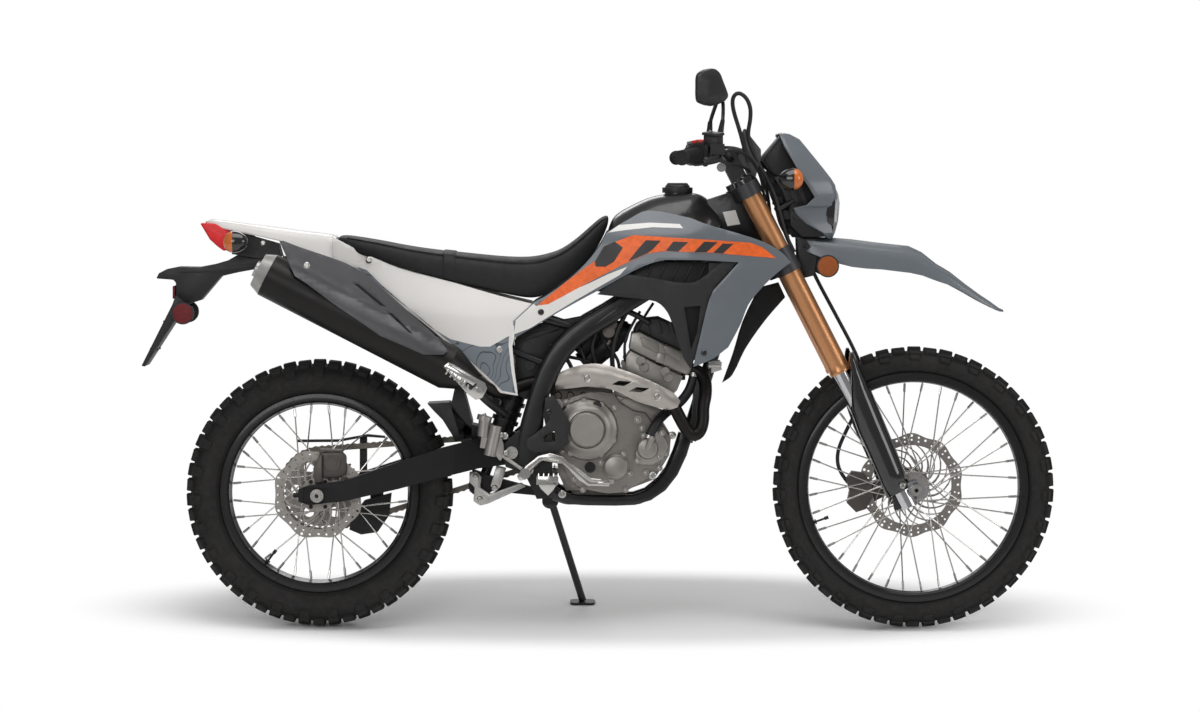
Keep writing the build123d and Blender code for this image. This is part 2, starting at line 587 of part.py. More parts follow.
def exhaust():
    port = (CYLINDER * Pos(HEAD_FRONT + GAP, -38, 150)).position
    points = [tuple(port), tuple(port + CYLINDER.x_dir * 44), (950, -80, 525), (912, -104, 462),
              (862, -112, 545), (780, -114, 598), (690, -104, 614), (610, -64, 608), (520, -60, 600),
              (468, -76, 582), (434, -98, 571), (408, -126, 588.6), (372, -126, 607.1)]
    pipe = bend(points, 16, 26)
    pipe += CYLINDER * Pos(HEAD_FRONT + GAP + 4, -38, 150) * Box(8, 52, 40)
    for x, y, z in ((780, -114, 598), (700, -105, 613)):
        pipe += disc((x, z), 6, -134 + GAP, y)
    NODES["exhaust_pipe"] = pipe
    a = Vector(380, -126, 603)
    b = Vector(-118, -126, 858)
    axis = (b - a).normalized()
    length = (b - a).length
    neck = Plane(origin=a, z_dir=axis)
    can = loft([neck * Circle(24), neck.offset(70) * Circle(54)])
    can += extrude(neck.offset(70) * Circle(54), amount=length - 70)
    can -= extrude(neck.offset(-1) * Circle(16 + FIT), amount=30)
    hanger = prism([(66, 766), (94, 752), (94, rail_level(94)), (66, rail_level(66))],
                   -rail_side(80) - 8 - GAP, -rail_side(80) - GAP - 0.3)
    NODES["muffler"] = can + hanger
    tip = Plane(origin=b, z_dir=axis)
    cap = loft([tip.offset(GAP) * Circle(53), tip.offset(26) * Circle(42)])
    cap -= extrude(tip.offset(8) * Circle(24), amount=30)
    NODES["muffler_cap"] = cap + extrude(tip.offset(4) * Circle(20), amount=30) - extrude(
        tip.offset(12) * Circle(16), amount=30)
    outline = [(-91, 932), (-77, 934), (-36, 915), (36, 886), (72, 867), (131, 827), (203, 767), (275, 712),
               (323, 669), (263, 664), (155, 700), (60, 760), (-36, 834), (-55, 848)]
    shell = extrude(neck.offset(60) * Circle(61), amount=length - 60)
    shell -= extrude(neck.offset(50) * Circle(57), amount=length)
    pad = extrude(neck.offset(200) * Circle(58), amount=12) - extrude(neck.offset(199) * Circle(54 + GAP),
                                                                      amount=14)
    guard = (shell + pad) & prism(outline, -200, -126)
    for vent in ([(91, 831), (103, 836), (150, 781), (136, 779)],
                 [(174, 760), (191, 757), (229, 707), (213, 710)]):
        guard -= prism(vent, -200, -126)
    NODES["muffler_guard"] = guard
    shield = [(576, 590), (588, 623), (621, 633), (657, 645), (681, 645), (777, 616), (830, 592), (861, 563),
              (868, 554), (859, 537), (837, 542), (777, 571), (741, 587), (681, 597), (633, 597)]
    plate = prism(shield, -140, -134)
    for slot in ([(708, 610), (755, 608), (757, 602), (710, 604)],
                 [(747, 592), (795, 592), (797, 586), (750, 586)]):
        plate -= prism(slot, -141, -133)
    NODES["heat_shield"] = plate


# ---- bodywork ----
CAP_SEAT = 1063.0     # top of the filler neck


def tank_cap():
    """The filler cap: a knurled ring under a raised middle."""
    cap = Pos(868, 0, CAP_SEAT + GAP + 5) * Cylinder(33, 10)
    cap += Pos(868, 0, CAP_SEAT + GAP + 14) * Cylinder(27, 10)
    grip = Pos(868, 0, CAP_SEAT + GAP + 18) * Box(46, 10, 8)
    return cap + grip


def rail_side(x):
    """Outer side of the upper seat rail where it runs along the panels."""
    return 62 + (x - 60) * (73 - 62) / (430 - 60) + RAIL_R


def rail_level(x):
    return 868 + (x - 60) * (790 - 868) / (430 - 60)


def bodywork():
    tank_side = [(705, 996), (718, 1007), (766, 1034), (798, 1051), (832, 1056), (900, 1061), (924, 1051),
                 (944, 1034), (960, 1015), (985, 985), (975, 966), (742, 836), (668, 836), (652, 880),
                 (680, 921), (697, 960)]
    tank_front = hull_loft([(640, [(0, 1070), (45, 1062), (95, 1010), (112, 930), (112, 820), (0, 820)]),
                            (880, [(0, 1070), (45, 1062), (90, 1010), (108, 930), (108, 820), (0, 820)]),
                            (940, [(0, 1070), (32, 1062), (50, 1010), (56, 930), (56, 820), (0, 820)]),
                            (990, [(0, 1070), (20, 1062), (32, 1010), (36, 930), (36, 820), (0, 820)])])
    tank = prism(tank_side, -120, 120) & tank_front
    tank += Pos(868, 0, CAP_SEAT - 12) * Cylinder(27, 24)
    for side in (1, -1):
        low = Vector(SPAR_LOW.X, side * SPAR_LOW.Y, SPAR_LOW.Z)
        high = Vector(SPAR_HIGH.X, side * SPAR_HIGH.Y, SPAR_HIGH.Z)
        middle = low + (high - low) * 0.6
        foot = box(middle.X - 12, middle.X + 12, middle.Y - 10, middle.Y + 10, middle.Z, middle.Z + 56)
        tank += foot - rod(low, high, SPAR_R + GAP)
    NODES["fuel_tank"] = tank
    NODES["tank_cap"] = tank_cap()
    seat = hull_loft([
        (46, [(0, 951), (50, 948), (66, 925), (0, 925)]),
        (195, [(0, 929), (85, 925), (108, 900), (100, 874), (0, 874)]),
        (400, [(0, 904), (85, 901), (118, 880), (108, 822), (0, 822)]),
        (520, [(0, 900), (75, 897), (100, 870), (110, 802), (0, 802)]),
        (600, [(0, 924), (65, 920), (88, 895), (95, 862), (0, 862)]),
        (650, [(0, 968), (52, 963), (78, 935), (84, 905), (0, 905)]),
        (690, [(0, 1000), (40, 994), (66, 975), (70, 968), (0, 968)]),
    ])
    for x, z, reach in ((100, 860, 50), (420, 792, 36)):
        seat += box(x - 8, x + 8, -40, 40, z + 7 + GAP, z + reach)
    NODES["seat"] = seat
    shroud_side = [(472, 748), (472, 705), (513, 729), (561, 758), (633, 799), (681, 825), (753, 866),
                   (801, 888), (837, 897), (921, 897), (1013, 892), (953, 825), (941, 796), (921, 712),
                   (905, 640), (950, 659), (989, 688), (1018, 743), (1037, 791), (1066, 828), (1102, 864),
                   (1138, 892), (1121, 912), (1090, 933), (1042, 952), (933, 984), (897, 998), (796, 1015),
                   (753, 996), (696, 962), (681, 933), (657, 900), (609, 852), (549, 808), (523, 794)]
    # x, then (y, z) up the outer face
    flank = [(470, [(121, 600), (121, 760), (119, 800), (108, 1020)]),
             (600, [(123, 600), (126, 800), (124, 860), (112, 1020)]),
             (700, [(127, 600), (133, 860), (131, 930), (112, 1010)]),
             (800, [(140, 600), (147, 860), (142, 948), (118, 1015)]),
             (900, [(148, 600), (158, 870), (150, 950), (124, 1005)]),
             (1000, [(152, 600), (160, 880), (152, 938), (144, 975)]),
             (1100, [(150, 600), (154, 880), (148, 915), (142, 950)]),
             (1150, [(146, 600), (148, 880), (146, 900), (144, 930)])]
    shroud = skin(flank, PANEL_T) & prism(shroud_side, 80, 170)
    under = skin(flank, 150, sink=PANEL_T / 2)
    for x, z in ((700, 905), (840, 915)):
        shroud += disc((x, z), 8, 112 + GAP, 200) & under
    NODES["shrouds"] = both(shroud)
    insert_side = [(674, 813), (734, 864), (802, 854), (898, 842), (939, 864), (975, 890), (1008, 890),
                   (950, 822), (937, 796), (917, 712), (900, 640), (881, 664), (862, 724), (842, 772),
                   (814, 797), (741, 806)]
    insert = skin(flank, PANEL_T, sink=PANEL_T + GAP) & prism(insert_side, 80, 170)
    insert -= prism([(883, 784), (922, 787), (915, 724), (900, 681)], 80, 170)
    NODES["shroud_inserts"] = both(insert)
    panel_side = [(87, 878), (152, 821), (248, 750), (320, 704), (400, 630), (441, 585), (484, 574),
                  (466, 688), (470, 703), (470, 744), (517, 790), (441, 806), (320, 840), (200, 871),
                  (128, 900)]
    panel = skin([(60, [(88, 560), (88, 920)]), (200, [(104, 560), (104, 920)]),
                  (400, [(117, 560), (117, 920)]), (530, [(118, 560), (118, 920)])], 3.0)
    panel &= prism(panel_side, 60, 140)
    for x, reach in ((400, 116), (180, 101)):
        panel += disc((x, rail_level(x)), 7, rail_side(x) + 2 * GAP, reach)
    NODES["side_panels"] = both(panel)
    tail = hull_loft([(-275, [(0, 990), (30, 986), (34, 975), (0, 975)]),
                      (-170, [(0, 978), (56, 974), (62, 950), (0, 950)]),
                      (-44, [(0, 962), (68, 958), (74, 920), (0, 920)]),
                      (43, [(0, 950), (70, 946), (80, 890), (0, 890)])])
    wing = skin([(40, [(78, 840), (78, 960)]), (130, [(84, 840), (84, 960)])], PANEL_T)
    wing &= prism([(38, 946), (45, 944), (45, 923), (90, 907), (122, 896), (84, 865), (65, 870), (38, 888)],
                  60, 100)
    tail += box(-88, -72, -33, 33, 891 + 7 + GAP, 934)
    NODES["tail_cowl"] = tail + wing + wing.mirror(Plane.XZ)
    NODES["tail_lamp"] = prism([(-289, 980), (-275 - GAP, 980), (-275 - GAP, tail_low(-275) - GAP),
                                (-212, tail_low(-212) - GAP), (-221, 920), (-229, 910), (-246, 922),
                                (-265, 939)], -32, 32)
    NODES["radiator"] = radiator()


def tail_low(x):
    """Underside of the tail cowl behind the seat, in its middle."""
    return 975 + (x + 275) * (950 - 975) / (275 - 170)


def radiator():
    """A core between two tanks behind a louvred grille, hung on the downtube at its left."""
    line = (DOWN_HIGH - DOWN_LOW).normalized()
    place = Plane(origin=DOWN_LOW + line * 333, x_dir=(line.Z, 0, -line.X), z_dir=line)
    back = -DOWNTUBE_R - 9
    middle = DOWNTUBE_R + GAP + 45
    shape = place * Pos(back, middle, 0) * Box(20, 86, 190)
    for z in (-88, 88):
        shape += place * Pos(back, middle, z) * Box(26, 90, 18)
    for y in (-43, 43):
        shape += place * Pos(back, middle + y, 0) * Box(26, 4, 190)
    for i in range(11):
        shape += place * Pos(back + 11, middle, -70 + 14 * i) * Box(5, 86, 4)
    for z in (-60, 60):
        shape += place * Pos(back + 0.5, middle - 48, z) * Box(16, 30, 24)
    return shape


def rear_end():
    arm = prism([(-130, 896), (-150, 894.6), (-212, 899.6), (-288, 873), (-337, 872), (-373, 863),
                 (-393, 846), (-349, 841), (-342, 822), (-342, 793), (-288, 793), (-240, 846), (-150, 866),
                 (-130, 880)], -45, 45)
    plate = prism([(-325, 793.5), (-342, 805), (-352, 780), (-429, 633), (-419, 633)], -60, 60)
    for x, y, z in ((-337, 50, 770), (-337, -50, 770), (-342, 0, 742)):
        plate += rod((x, y, z), (x - 22, y, z + 8), 16)
    NODES["plate_holder"] = arm + plate
    lamps = []
    for side in (1, -1):
        stalk = rod((-190, side * (40 + GAP), 930), (-190, side * 120, 930), 6)
        lens = [Plane(origin=(-192, side * y, 935), z_dir=(0, side, 0)) * Ellipse(a, b)
                for y, a, b in ((112, 15, 14), (126, 24, 22), (146, 24, 22), (154, 16, 14))]
        lamps.append(stalk + loft(lens, ruled=True))
    NODES["rear_indicators"] = lamps
    tray = [(-212, 905), (-206, tail_low(-206) - GAP), (-172, tail_low(-172) - GAP)]
    NODES["undertail"] = prism(tray + [(-100, 930), (-91, 900), (-150, 895)], -40, 40)


def feet():
    pegs = []
    for side in (1, -1):
        near, far = sorted((side * (109 + GAP), side * 126))
        peg = box(546, 566, near, far, 350, 372)
        near, far = sorted((side * 124, side * 185))
        peg += box(530, 582, near, far, 358, 368)
        for i in range(6):
            for x in (530, 576):
                near, far = sorted((side * (128 + 10 * i), side * (133 + 10 * i)))
                peg += box(x, x + 6, near, far, 366, 376)
        pegs.append(peg)
    NODES["rider_pegs"] = pegs
    pedal = bend([(510, -118, 385), (540, -122, 418), (600, -128, 408), (660, -132, 366), (700, -132, 362)],
                 6, 10)
    pedal += box(684, 716, -150, -124, 358, 368) + rod((512, -109 - GAP, 388), (512, -126, 388), 10)
    lever = bend([(590, 96, 392), (650, 112, 400), (715, 122, 395)], 6, 10)
    lever += rod((590, CASE_LEFT + GAP, 392), (590, 104, 392), 8)
    lever += rod((715, 108, 395), (715, 148, 395), 9)
    NODES["foot_levers"] = [pedal, lever]
    flap = prism([(333, 600), (345, 600), (372, 500), (368, 428 + GAP), (352, 428 + GAP), (320, 540)], -50,
                 50)
    NODES["rear_mudguards"] = [flap, NODES.pop("undertail")]


def rear_brake():
    body = box(5, 68, -98, -54, 372, 432)
    body += prism([(14, 354.2 + GAP), (56, 359.4 + GAP), (56, 390), (14, 390)], -114, -94)
    body -= disc(REAR_AXLE, REAR_DISC_R + 5, REAR_DISC_Y - 7, REAR_DISC_Y + 7)
    NODES["rear_brake"] = [body, prism([(390, 508), (417, 515), (460, 416), (433, 412)], -134, -119)]


def stand_mount():
    """The bracket and pivot bolt that the frame gives the side stand."""
    knuckle = Plane(origin=stand_pivot, z_dir=stand_axis)
    bracket = extrude(knuckle.offset(-GAP - 10) * Circle(20), amount=10)
    bracket += prism([(538, 330), (582, 330), (578, 290), (542, 290)], 85, 102)
    bolt = extrude(knuckle.offset(-12) * Circle(6), amount=STAND_THICK + 16)
    bolt += extrude(knuckle.offset(STAND_THICK + GAP) * Circle(10), amount=4)
    return bracket + bolt


def side_stand():
    _, py, pz = STAND_PIVOT
    tilt = stand_tilt
    axis = stand_axis
    down = Vector(0, math.sin(tilt), -math.cos(tilt))
    pivot = stand_pivot
    slope = math.tan(math.radians(LEAN_DEG))
    reach = (pz - (py - TREAD_HALF) * slope) / (math.cos(tilt) + math.sin(tilt) * slope)
    foot = pivot + down * reach + Vector(STAND_FORWARD, 0, 0)
    knuckle = Plane(origin=pivot, z_dir=axis)
    lug = extrude(knuckle * Circle(17), amount=STAND_THICK)
    lug -= extrude(knuckle.offset(-1) * Circle(6 + FIT), amount=STAND_THICK + 2)
    start = pivot + axis * (STAND_THICK / 2)
    leg_end = foot + Vector(0, 0, 8)
    way = (leg_end - start).normalized()
    leg = rod(tuple(start + way * 12), tuple(leg_end), 9)
    lie = Plane(origin=foot, x_dir=(1, 0, 0), z_dir=(0, -math.sin(math.radians(LEAN_DEG)),
                                                     math.cos(math.radians(LEAN_DEG))))
    pad = extrude(lie * RectangleRounded(62, 40, 12), amount=6)
    NODES["side_stand"] = lug + leg + pad
    return foot


# ---- steering ----
def clamps():
    out = []
    for s0, h in ((CLAMP_TOP, CLAMP_TOP_H), (CLAMP_LOW, CLAMP_LOW_H)):
        waist = CLAMP_OFFSET + 20
        half = [(20, FORK_Y - 20), (0, FORK_Y + 8), (-16, FORK_Y), (-waist, 18)]
        outline = half + [(x, -y) for x, y in reversed(half)]
        plate = extrude(LEG * Pos(0, 0, s0) * make_face(Polyline(*outline, close=True)), amount=h, dir=UP)
        plate += leg_cylinder(FORK_Y, s0, s0 + h, 31) + leg_cylinder(-FORK_Y, s0, s0 + h, 31)
        plate -= leg_cylinder(FORK_Y, s0 - 1, s0 + h + 1, FORK_TUBE_R + FIT)
        plate -= leg_cylinder(-FORK_Y, s0 - 1, s0 + h + 1, FORK_TUBE_R + FIT)
        out.append(plate)
    stem = leg_cylinder(0, CLAMP_LOW, CLAMP_TOP + CLAMP_TOP_H + 12, STEM_R, ahead=-CLAMP_OFFSET)
    shape = out[0] + out[1] + stem
    for side in (1, -1):
        near, far = sorted((side * (BAR_OPEN / 2 + GAP), side * (BAR_OPEN / 2 + 26)))
        top = CLAMP_TOP + CLAMP_TOP_H
        shape += leg_box(-26, 14, near, far, top - 4, top + BAR_RISE + 20)
    shape -= disc((BAR_CENTRE.X, BAR_CENTRE.Z), BAR_R + FIT, -62, 62)
    NODES["triple_clamps"] = shape


def fork():
    tubes = []
    legs = []
    guards = []
    for side in (1, -1):
        y = side * FORK_Y
        tube = leg_cylinder(y, FORK_SEAL, FORK_TOP, FORK_TUBE_R)
        tube -= leg_cylinder(y, FORK_SEAL - 1, FORK_SEAL + 60, FORK_INNER_R + FIT)
        tubes.append(tube)
        leg = leg_cylinder(y, 20, FORK_SEAL + 40, FORK_INNER_R)
        leg += leg_cylinder(y, -30, 70, 24)
        leg += leg_box(-8, AXLE_LEAD, y - 17, y + 17, -22, 24)
        leg += disc(FRONT_AXLE, 23, y - 17, y + 17)
        leg -= disc(FRONT_AXLE, AXLE_R + FIT, -200, 200)
        legs.append(leg)
        guard = leg_cylinder(y, 46, 345, 33) - leg_cylinder(y, 45, 346, 30)
        near, far = sorted((side * (FORK_Y - 26), side * (FORK_Y + 40)))
        lean = LEG * prism([(-8, 46), (40, 46), (40, 345), (14, 345), (-8, 300)], -200, 200)
        guard &= leg_box(-8, 40, near, far, 46, 345) & lean
        guards.append(guard + leg_box(24 + GAP, 31, y - 8, y + 8, 46, 66))
    NODES["fork_tubes"] = tubes
    NODES["fork_legs"] = legs
    NODES["fork_guards"] = guards
    axle = disc(FRONT_AXLE, AXLE_R, -128, 128)
    for side in (1, -1):
        inner = FORK_Y - 17 - GAP
        hub_end = 64 if side > 0 else 52
        near, far = sorted((side * (hub_end + GAP), side * inner))
        axle += disc(FRONT_AXLE, 15, near, far)
        near, far = sorted((side * (FORK_Y + 17 + GAP), side * 122))
        axle += disc(FRONT_AXLE, 14, near, far)
    axle -= disc(FRONT_AXLE, AXLE_BORE_R, -140, 140)
    NODES["front_axle"] = axle


def from_bar(points):
    """Points given from the middle of the handlebar."""
    return [(BAR_CENTRE.X + x, y, BAR_CENTRE.Z + z) for x, y, z in points]


BAR_HALF = [(0, 62, 0), (-26, 190, 20), (-74, 285, 13), (-120, 410, 2)]
BAR_BEND = 45.0               # radius of the bar's bends


def handlebar():
    points = from_bar([(x, -y, z) for x, y, z in reversed(BAR_HALF)] + BAR_HALF)
    NODES["handlebar"] = bend(points, BAR_R, BAR_BEND)
    grips = []
    controls = []
    mirrors = []
    for side in (1, -1):
        end, knee = (Vector(*point) for point in from_bar([(x, side * y, z) for x, y,
                                                           z in (BAR_HALF[3], BAR_HALF[2])]))
        way = (knee - end).normalized()
        grip = rod(tuple(end - way * 4), tuple(end + way * 116), 15, bore=BAR_R + FIT)
        grip += rod(tuple(end + way * 108), tuple(end + way * 116), 22, bore=BAR_R + FIT)
        grips.append(grip + rod(tuple(end - way * 4), tuple(end + way * 2), 18, bore=BAR_R + FIT))
        controls.append(hand_control(end, way, side))
        mirrors.append(mirror(side))
    NODES["grips"] = grips
    NODES["hand_controls"] = controls
    NODES["mirrors"] = mirrors


def hand_control(end, way, side):
    """Switch block and lever perch on the bar, and the lever ahead of the grip."""
    shape = rod(tuple(end + way * (116 + GAP)), tuple(end + way * 132), 21, bore=BAR_R + FIT)
    across = Plane(origin=end + way * 124, x_dir=(0, 0, 1), z_dir=way)
    block = across * Pos(2, 0, 4) * Box(46, 30, 24)
    perch = across * Pos(0, 0, 20) * Box(30, 30, 14)
    shape += (block + perch) - bend(from_bar([(x, side * y, z) for x, y, z in BAR_HALF]), BAR_R + FIT,
                                    BAR_BEND)
    root = end + way * 124 + Vector(34, 0, -4)
    shape += rod(tuple(end + way * 124 + Vector(20, 0, -4)), tuple(root), 9)
    tip = end + way * 14 + Vector(52, 0, -8)
    shape += bend([tuple(root), tuple(root - way * 26 + Vector(18, 0, -2)), tuple(tip)], 5.5, 14)
    shape += Pos(*tip) * Sphere(8)
    if side < 0:
        shape += Pos(*(root + Vector(8, 0, 14))) * Box(34, 44, 26)
    return shape


def mirror(side):
    """A round-cornered head that looks back and a little inward, on its bent stalk."""
    stalk = bend(from_bar([(-45, side * 232, 30), (-54, side * 235, 85), (-32, side * 313, 130)]), 5, 15)
    stalk += rod(*from_bar([(-43, side * 232, 29), (-47, side * 233, 56)]), 9)
    centre = from_bar([(-42, side * 330, 166)])[0]
    face = Plane(origin=centre, x_dir=(-side * math.sin(MIRROR_TURN), math.cos(MIRROR_TURN), 0),
                 z_dir=(math.cos(MIRROR_TURN), side * math.sin(MIRROR_TURN), 0))
    rings = [face.offset(d) * RectangleRounded(w, h, r) for d, w, h, r in
             ((-12, 128, 80, 30), (-6, 134, 86, 32), (4, 128, 80, 30), (16, 84, 50, 20))]
    return stalk + loft(rings, ruled=True)


LENS_BACK = -205.0    # back of the headlight's lens, from the front axle


def from_front(points):
    """Points (x, z) given from the front axle."""
    return [(FRONT_AXLE[0] + x, FRONT_AXLE[1] + z) for x, z in points]


def headlight():
    dx, dz = FRONT_AXLE
    housing = prism(from_front([(-313, 757), (-298, 798), (-256, 774), (-228, 736), (LENS_BACK, 710),
                                (LENS_BACK, 617), (-275, 615), (-310, 687)]), -54, 54)
    for side in (1, -1):
        near, far = sorted((side * 48, side * (FORK_Y - 22)))
        housing += leg_box(30, 80, near, far, 742, 754)
        near, far = sorted((side * (FORK_Y - 26), side * FORK_Y))
        housing += leg_box(24, 40, near, far, 742, 754) + leg_cylinder(side * FORK_Y, 738, 758, 31)
        housing -= leg_cylinder(side * FORK_Y, 700, 800, FORK_TUBE_R + GAP)
    seat_x = LENS_BACK + GAP
    lens = prism(from_front([(seat_x, 737), (-193, 742), (-182, 692), (-191, 617), (seat_x, 613)]), -56, 56)
    NODES["headlight_lens"] = lens
    cowl_side = from_front([(-332, 857), (-317, 860), (-286, 850), (-245, 799), (-204, 749), (-204, 606),
                            (-245, 606), (-269, 618), (-288, 652), (-300, 681), (-252, 669), (-245, 703),
                            (-274, 749), (-293, 780)])
    # x, then (y, z) up the outer face, both from the front axle
    cheek = [(dx + x, [(y, dz + z) for y, z in row]) for x, row in
             ((-365, [(72, 597), (90, 747), (70, 867)]), (-265, [(70, 597), (88, 747), (64, 867)]),
              (-203, [(60, 597), (78, 747), (58, 867)]))]
    roof_rows = [(-331, 858, 68), (-317, 861, 68), (-286, 850, 66), (-245, 799, 76), (-204, 749, 76)]
    roof = loft([make_face(Polyline((dx + x, -w, dz + z - 10), (dx + x, 0, dz + z), (dx + x, w, dz + z - 10),
                                    (dx + x, w, dz + z - 13), (dx + x, 0, dz + z - 3),
                                    (dx + x, -w, dz + z - 13), close=True)) for x, z, w in roof_rows],
                ruled=True)
    side_skin = skin(cheek, PANEL_T) & prism(cowl_side, 40, 120)
    cowl = roof + side_skin + side_skin.mirror(Plane.XZ)
    NODES["headlight_cowl"] = cowl - lens
    meter = Pos(dx - 360, 0, dz + 806) * Rot(0, 40, 0) * (Box(28, 120, 66) + Pos(-16, 0, 0) * Box(4, 108, 56))
    meter += rod((dx - 356, 0, dz + 802), (dx - 294, 0, dz + 766), 12)
    ears = both(boss(cheek, dx - 255, dz + 762, 50, 6))
    NODES["headlight_housing"] = housing + meter + ears[0] + ears[1]
    lamps = []
    for side in (1, -1):
        stalk = rod((dx - 299, side * (54 + GAP), dz + 734), (dx - 299, side * 134, dz + 734), 6)
        rings = [Plane(origin=(dx - 310, side * y, dz + 734), z_dir=(0, side, 0)) * Ellipse(a, b)
                 for y, a, b in ((124, 14, 14), (136, 23, 24), (156, 23, 24), (164, 15, 15))]
        lamps.append(stalk + loft(rings, ruled=True))
    NODES["front_indicators"] = lamps


def fender():
    # x, height of the crown, height of the lower edge and half width, from the front axle
    rows = [(-285, 609, 582, 58), (-197, 606, 547, 70), (-156, 603, 537, 74), (-83, 594, 531, 76),
            (-15, 587, 523, 74), (35, 562, 509, 70), (85, 525, 492, 62), (155, 472, 453, 48),
            (215, 433, 419, 30)]
    faces = []
    for x, top, low, w in rows:
        t = PANEL_T
        fall = top - low
        half = [(0, top), (0.30 * w, top - 1), (0.42 * w, top - 6), (0.80 * w, top - 9),
                (0.94 * w, top - 0.5 * fall), (w, low)]
        inner = [(max(0, y - t * y / w), z - t) for y, z in half[:-1]] + [(w - t, low)]
        ring = half + list(reversed(inner))[:-1]
        ring += [(-y, z) for y, z in inner] + [(-y, z) for y, z in reversed(half[1:])]
        faces.append(make_face(Polyline(*[(FRONT_AXLE[0] + x, y, FRONT_AXLE[1] + z) for y, z in ring],
                                        close=True)))
    mount = leg_box(20 + GAP, 60, -36, 36, 618, 646) + leg_box(46, 60, -30, 30, 640, 668)
    NODES["front_fender"] = loft(faces, ruled=True) + mount


def front_brake():
    block = from_front([(-160, 16), (-146, 34), (-118, 30), (-98, 4), (-96, -30), (-112, -58), (-136, -66),
                        (-158, -44), (-152, -14)])
    body = prism(block, FRONT_DISC_Y - 20, FRONT_DISC_Y + 20)
    for x, z in ((-132, 6), (-128, -30)):
        body += disc((FRONT_AXLE[0] + x, FRONT_AXLE[1] + z), 17, FRONT_DISC_Y + 14, FRONT_DISC_Y + 29)
        body += disc((FRONT_AXLE[0] + x, FRONT_AXLE[1] + z), 11, FRONT_DISC_Y + 14, FRONT_DISC_Y + 33)
    body += leg_box(-76, -24 - GAP, FRONT_DISC_Y + 12, FORK_Y + 6, 4, 46)
    body -= disc(FRONT_AXLE, FRONT_DISC_R + 5, FRONT_DISC_Y - 7, FRONT_DISC_Y + 7)
    NODES["front_caliper"] = body


rear_axle(swingarm())
for build in (front_wheel, rear_wheel, chain, frame, subframe, shock, engine, exhaust, bodywork,
              rear_end, feet, rear_brake, clamps, fork, handlebar, headlight, fender, front_brake):
    build()
stand_foot = side_stand()


# ---- leaning on the side stand, with the origin under the middle of the whole ----
def solids_of(shape):
    if isinstance(shape, list):
        return [s for piece in shape for s in piece.solids()]
    return shape.solids()


leaned = Location((0, 0, 0), (-LEAN_DEG, 0, 0))
whole = Compound([s for shape in NODES.values() for s in solids_of(shape)]).moved(leaned)
bounds = whole.bounding_box()
shift = Vector(-bounds.center().X, -bounds.center().Y, -bounds.min.Z)
placed = Location(tuple(shift)) * leaned


def place_point(point):
    """A point of the upright machine where it stands."""
    return (placed * Pos(*point)).position


def write_parts():
    os.makedirs("parts", exist_ok=True)
    for name, shape in NODES.items():
        body = solids_of(shape)
        kept = body[0] if len(body) == 1 else Compound(body)
        export_step(kept.moved(placed), os.path.join("parts", name + ".step"))


write_parts()
print("size", bounds.size, "shift", shift)
for label, point in (("front wheel", (FRONT_AXLE[0], 0, FRONT_AXLE[1])), ("rear wheel", (0, 0, REAR_R)),
                     ("steering", tuple(STEER_FOOT)), ("stand", tuple(stand_pivot)),
                     ("foot", tuple(stand_foot))):
    print(label, place_point(point))
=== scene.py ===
import json
import math

import bmesh
import bpy
from mathutils import Matrix, Vector
from mathutils.geometry import interpolate_bezier


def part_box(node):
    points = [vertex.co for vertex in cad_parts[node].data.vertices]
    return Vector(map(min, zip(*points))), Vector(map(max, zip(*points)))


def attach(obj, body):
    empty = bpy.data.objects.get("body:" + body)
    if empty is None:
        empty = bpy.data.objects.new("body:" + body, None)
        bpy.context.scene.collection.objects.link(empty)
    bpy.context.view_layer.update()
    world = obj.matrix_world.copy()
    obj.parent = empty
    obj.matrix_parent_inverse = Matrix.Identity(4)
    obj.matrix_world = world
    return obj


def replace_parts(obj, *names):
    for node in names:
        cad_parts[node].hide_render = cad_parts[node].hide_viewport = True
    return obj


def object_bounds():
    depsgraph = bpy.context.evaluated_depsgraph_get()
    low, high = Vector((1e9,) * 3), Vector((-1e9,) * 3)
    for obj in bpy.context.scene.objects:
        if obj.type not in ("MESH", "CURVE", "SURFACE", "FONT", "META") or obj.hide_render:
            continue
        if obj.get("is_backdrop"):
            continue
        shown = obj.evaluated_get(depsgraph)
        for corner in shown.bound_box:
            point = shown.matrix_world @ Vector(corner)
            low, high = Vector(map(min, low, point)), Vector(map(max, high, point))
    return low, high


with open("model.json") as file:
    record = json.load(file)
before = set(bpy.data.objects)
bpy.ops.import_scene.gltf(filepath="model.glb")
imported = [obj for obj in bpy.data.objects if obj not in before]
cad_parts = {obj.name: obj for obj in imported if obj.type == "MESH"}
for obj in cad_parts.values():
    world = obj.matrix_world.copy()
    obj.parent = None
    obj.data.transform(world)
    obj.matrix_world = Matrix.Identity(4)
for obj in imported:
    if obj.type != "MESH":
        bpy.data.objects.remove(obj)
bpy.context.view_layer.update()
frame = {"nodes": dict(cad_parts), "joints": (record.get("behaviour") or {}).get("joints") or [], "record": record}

# ---- the upright frame: x ahead of the rear axle, y to the rider's left, z above the floor, in mm ----
MM = 0.001
joints = {joint["name"]: joint for joint in frame["joints"]}


def radius_of(node):
    """Half a node's length along x, in mm."""
    low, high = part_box(node)
    return (high.x - low.x) / 2 / MM


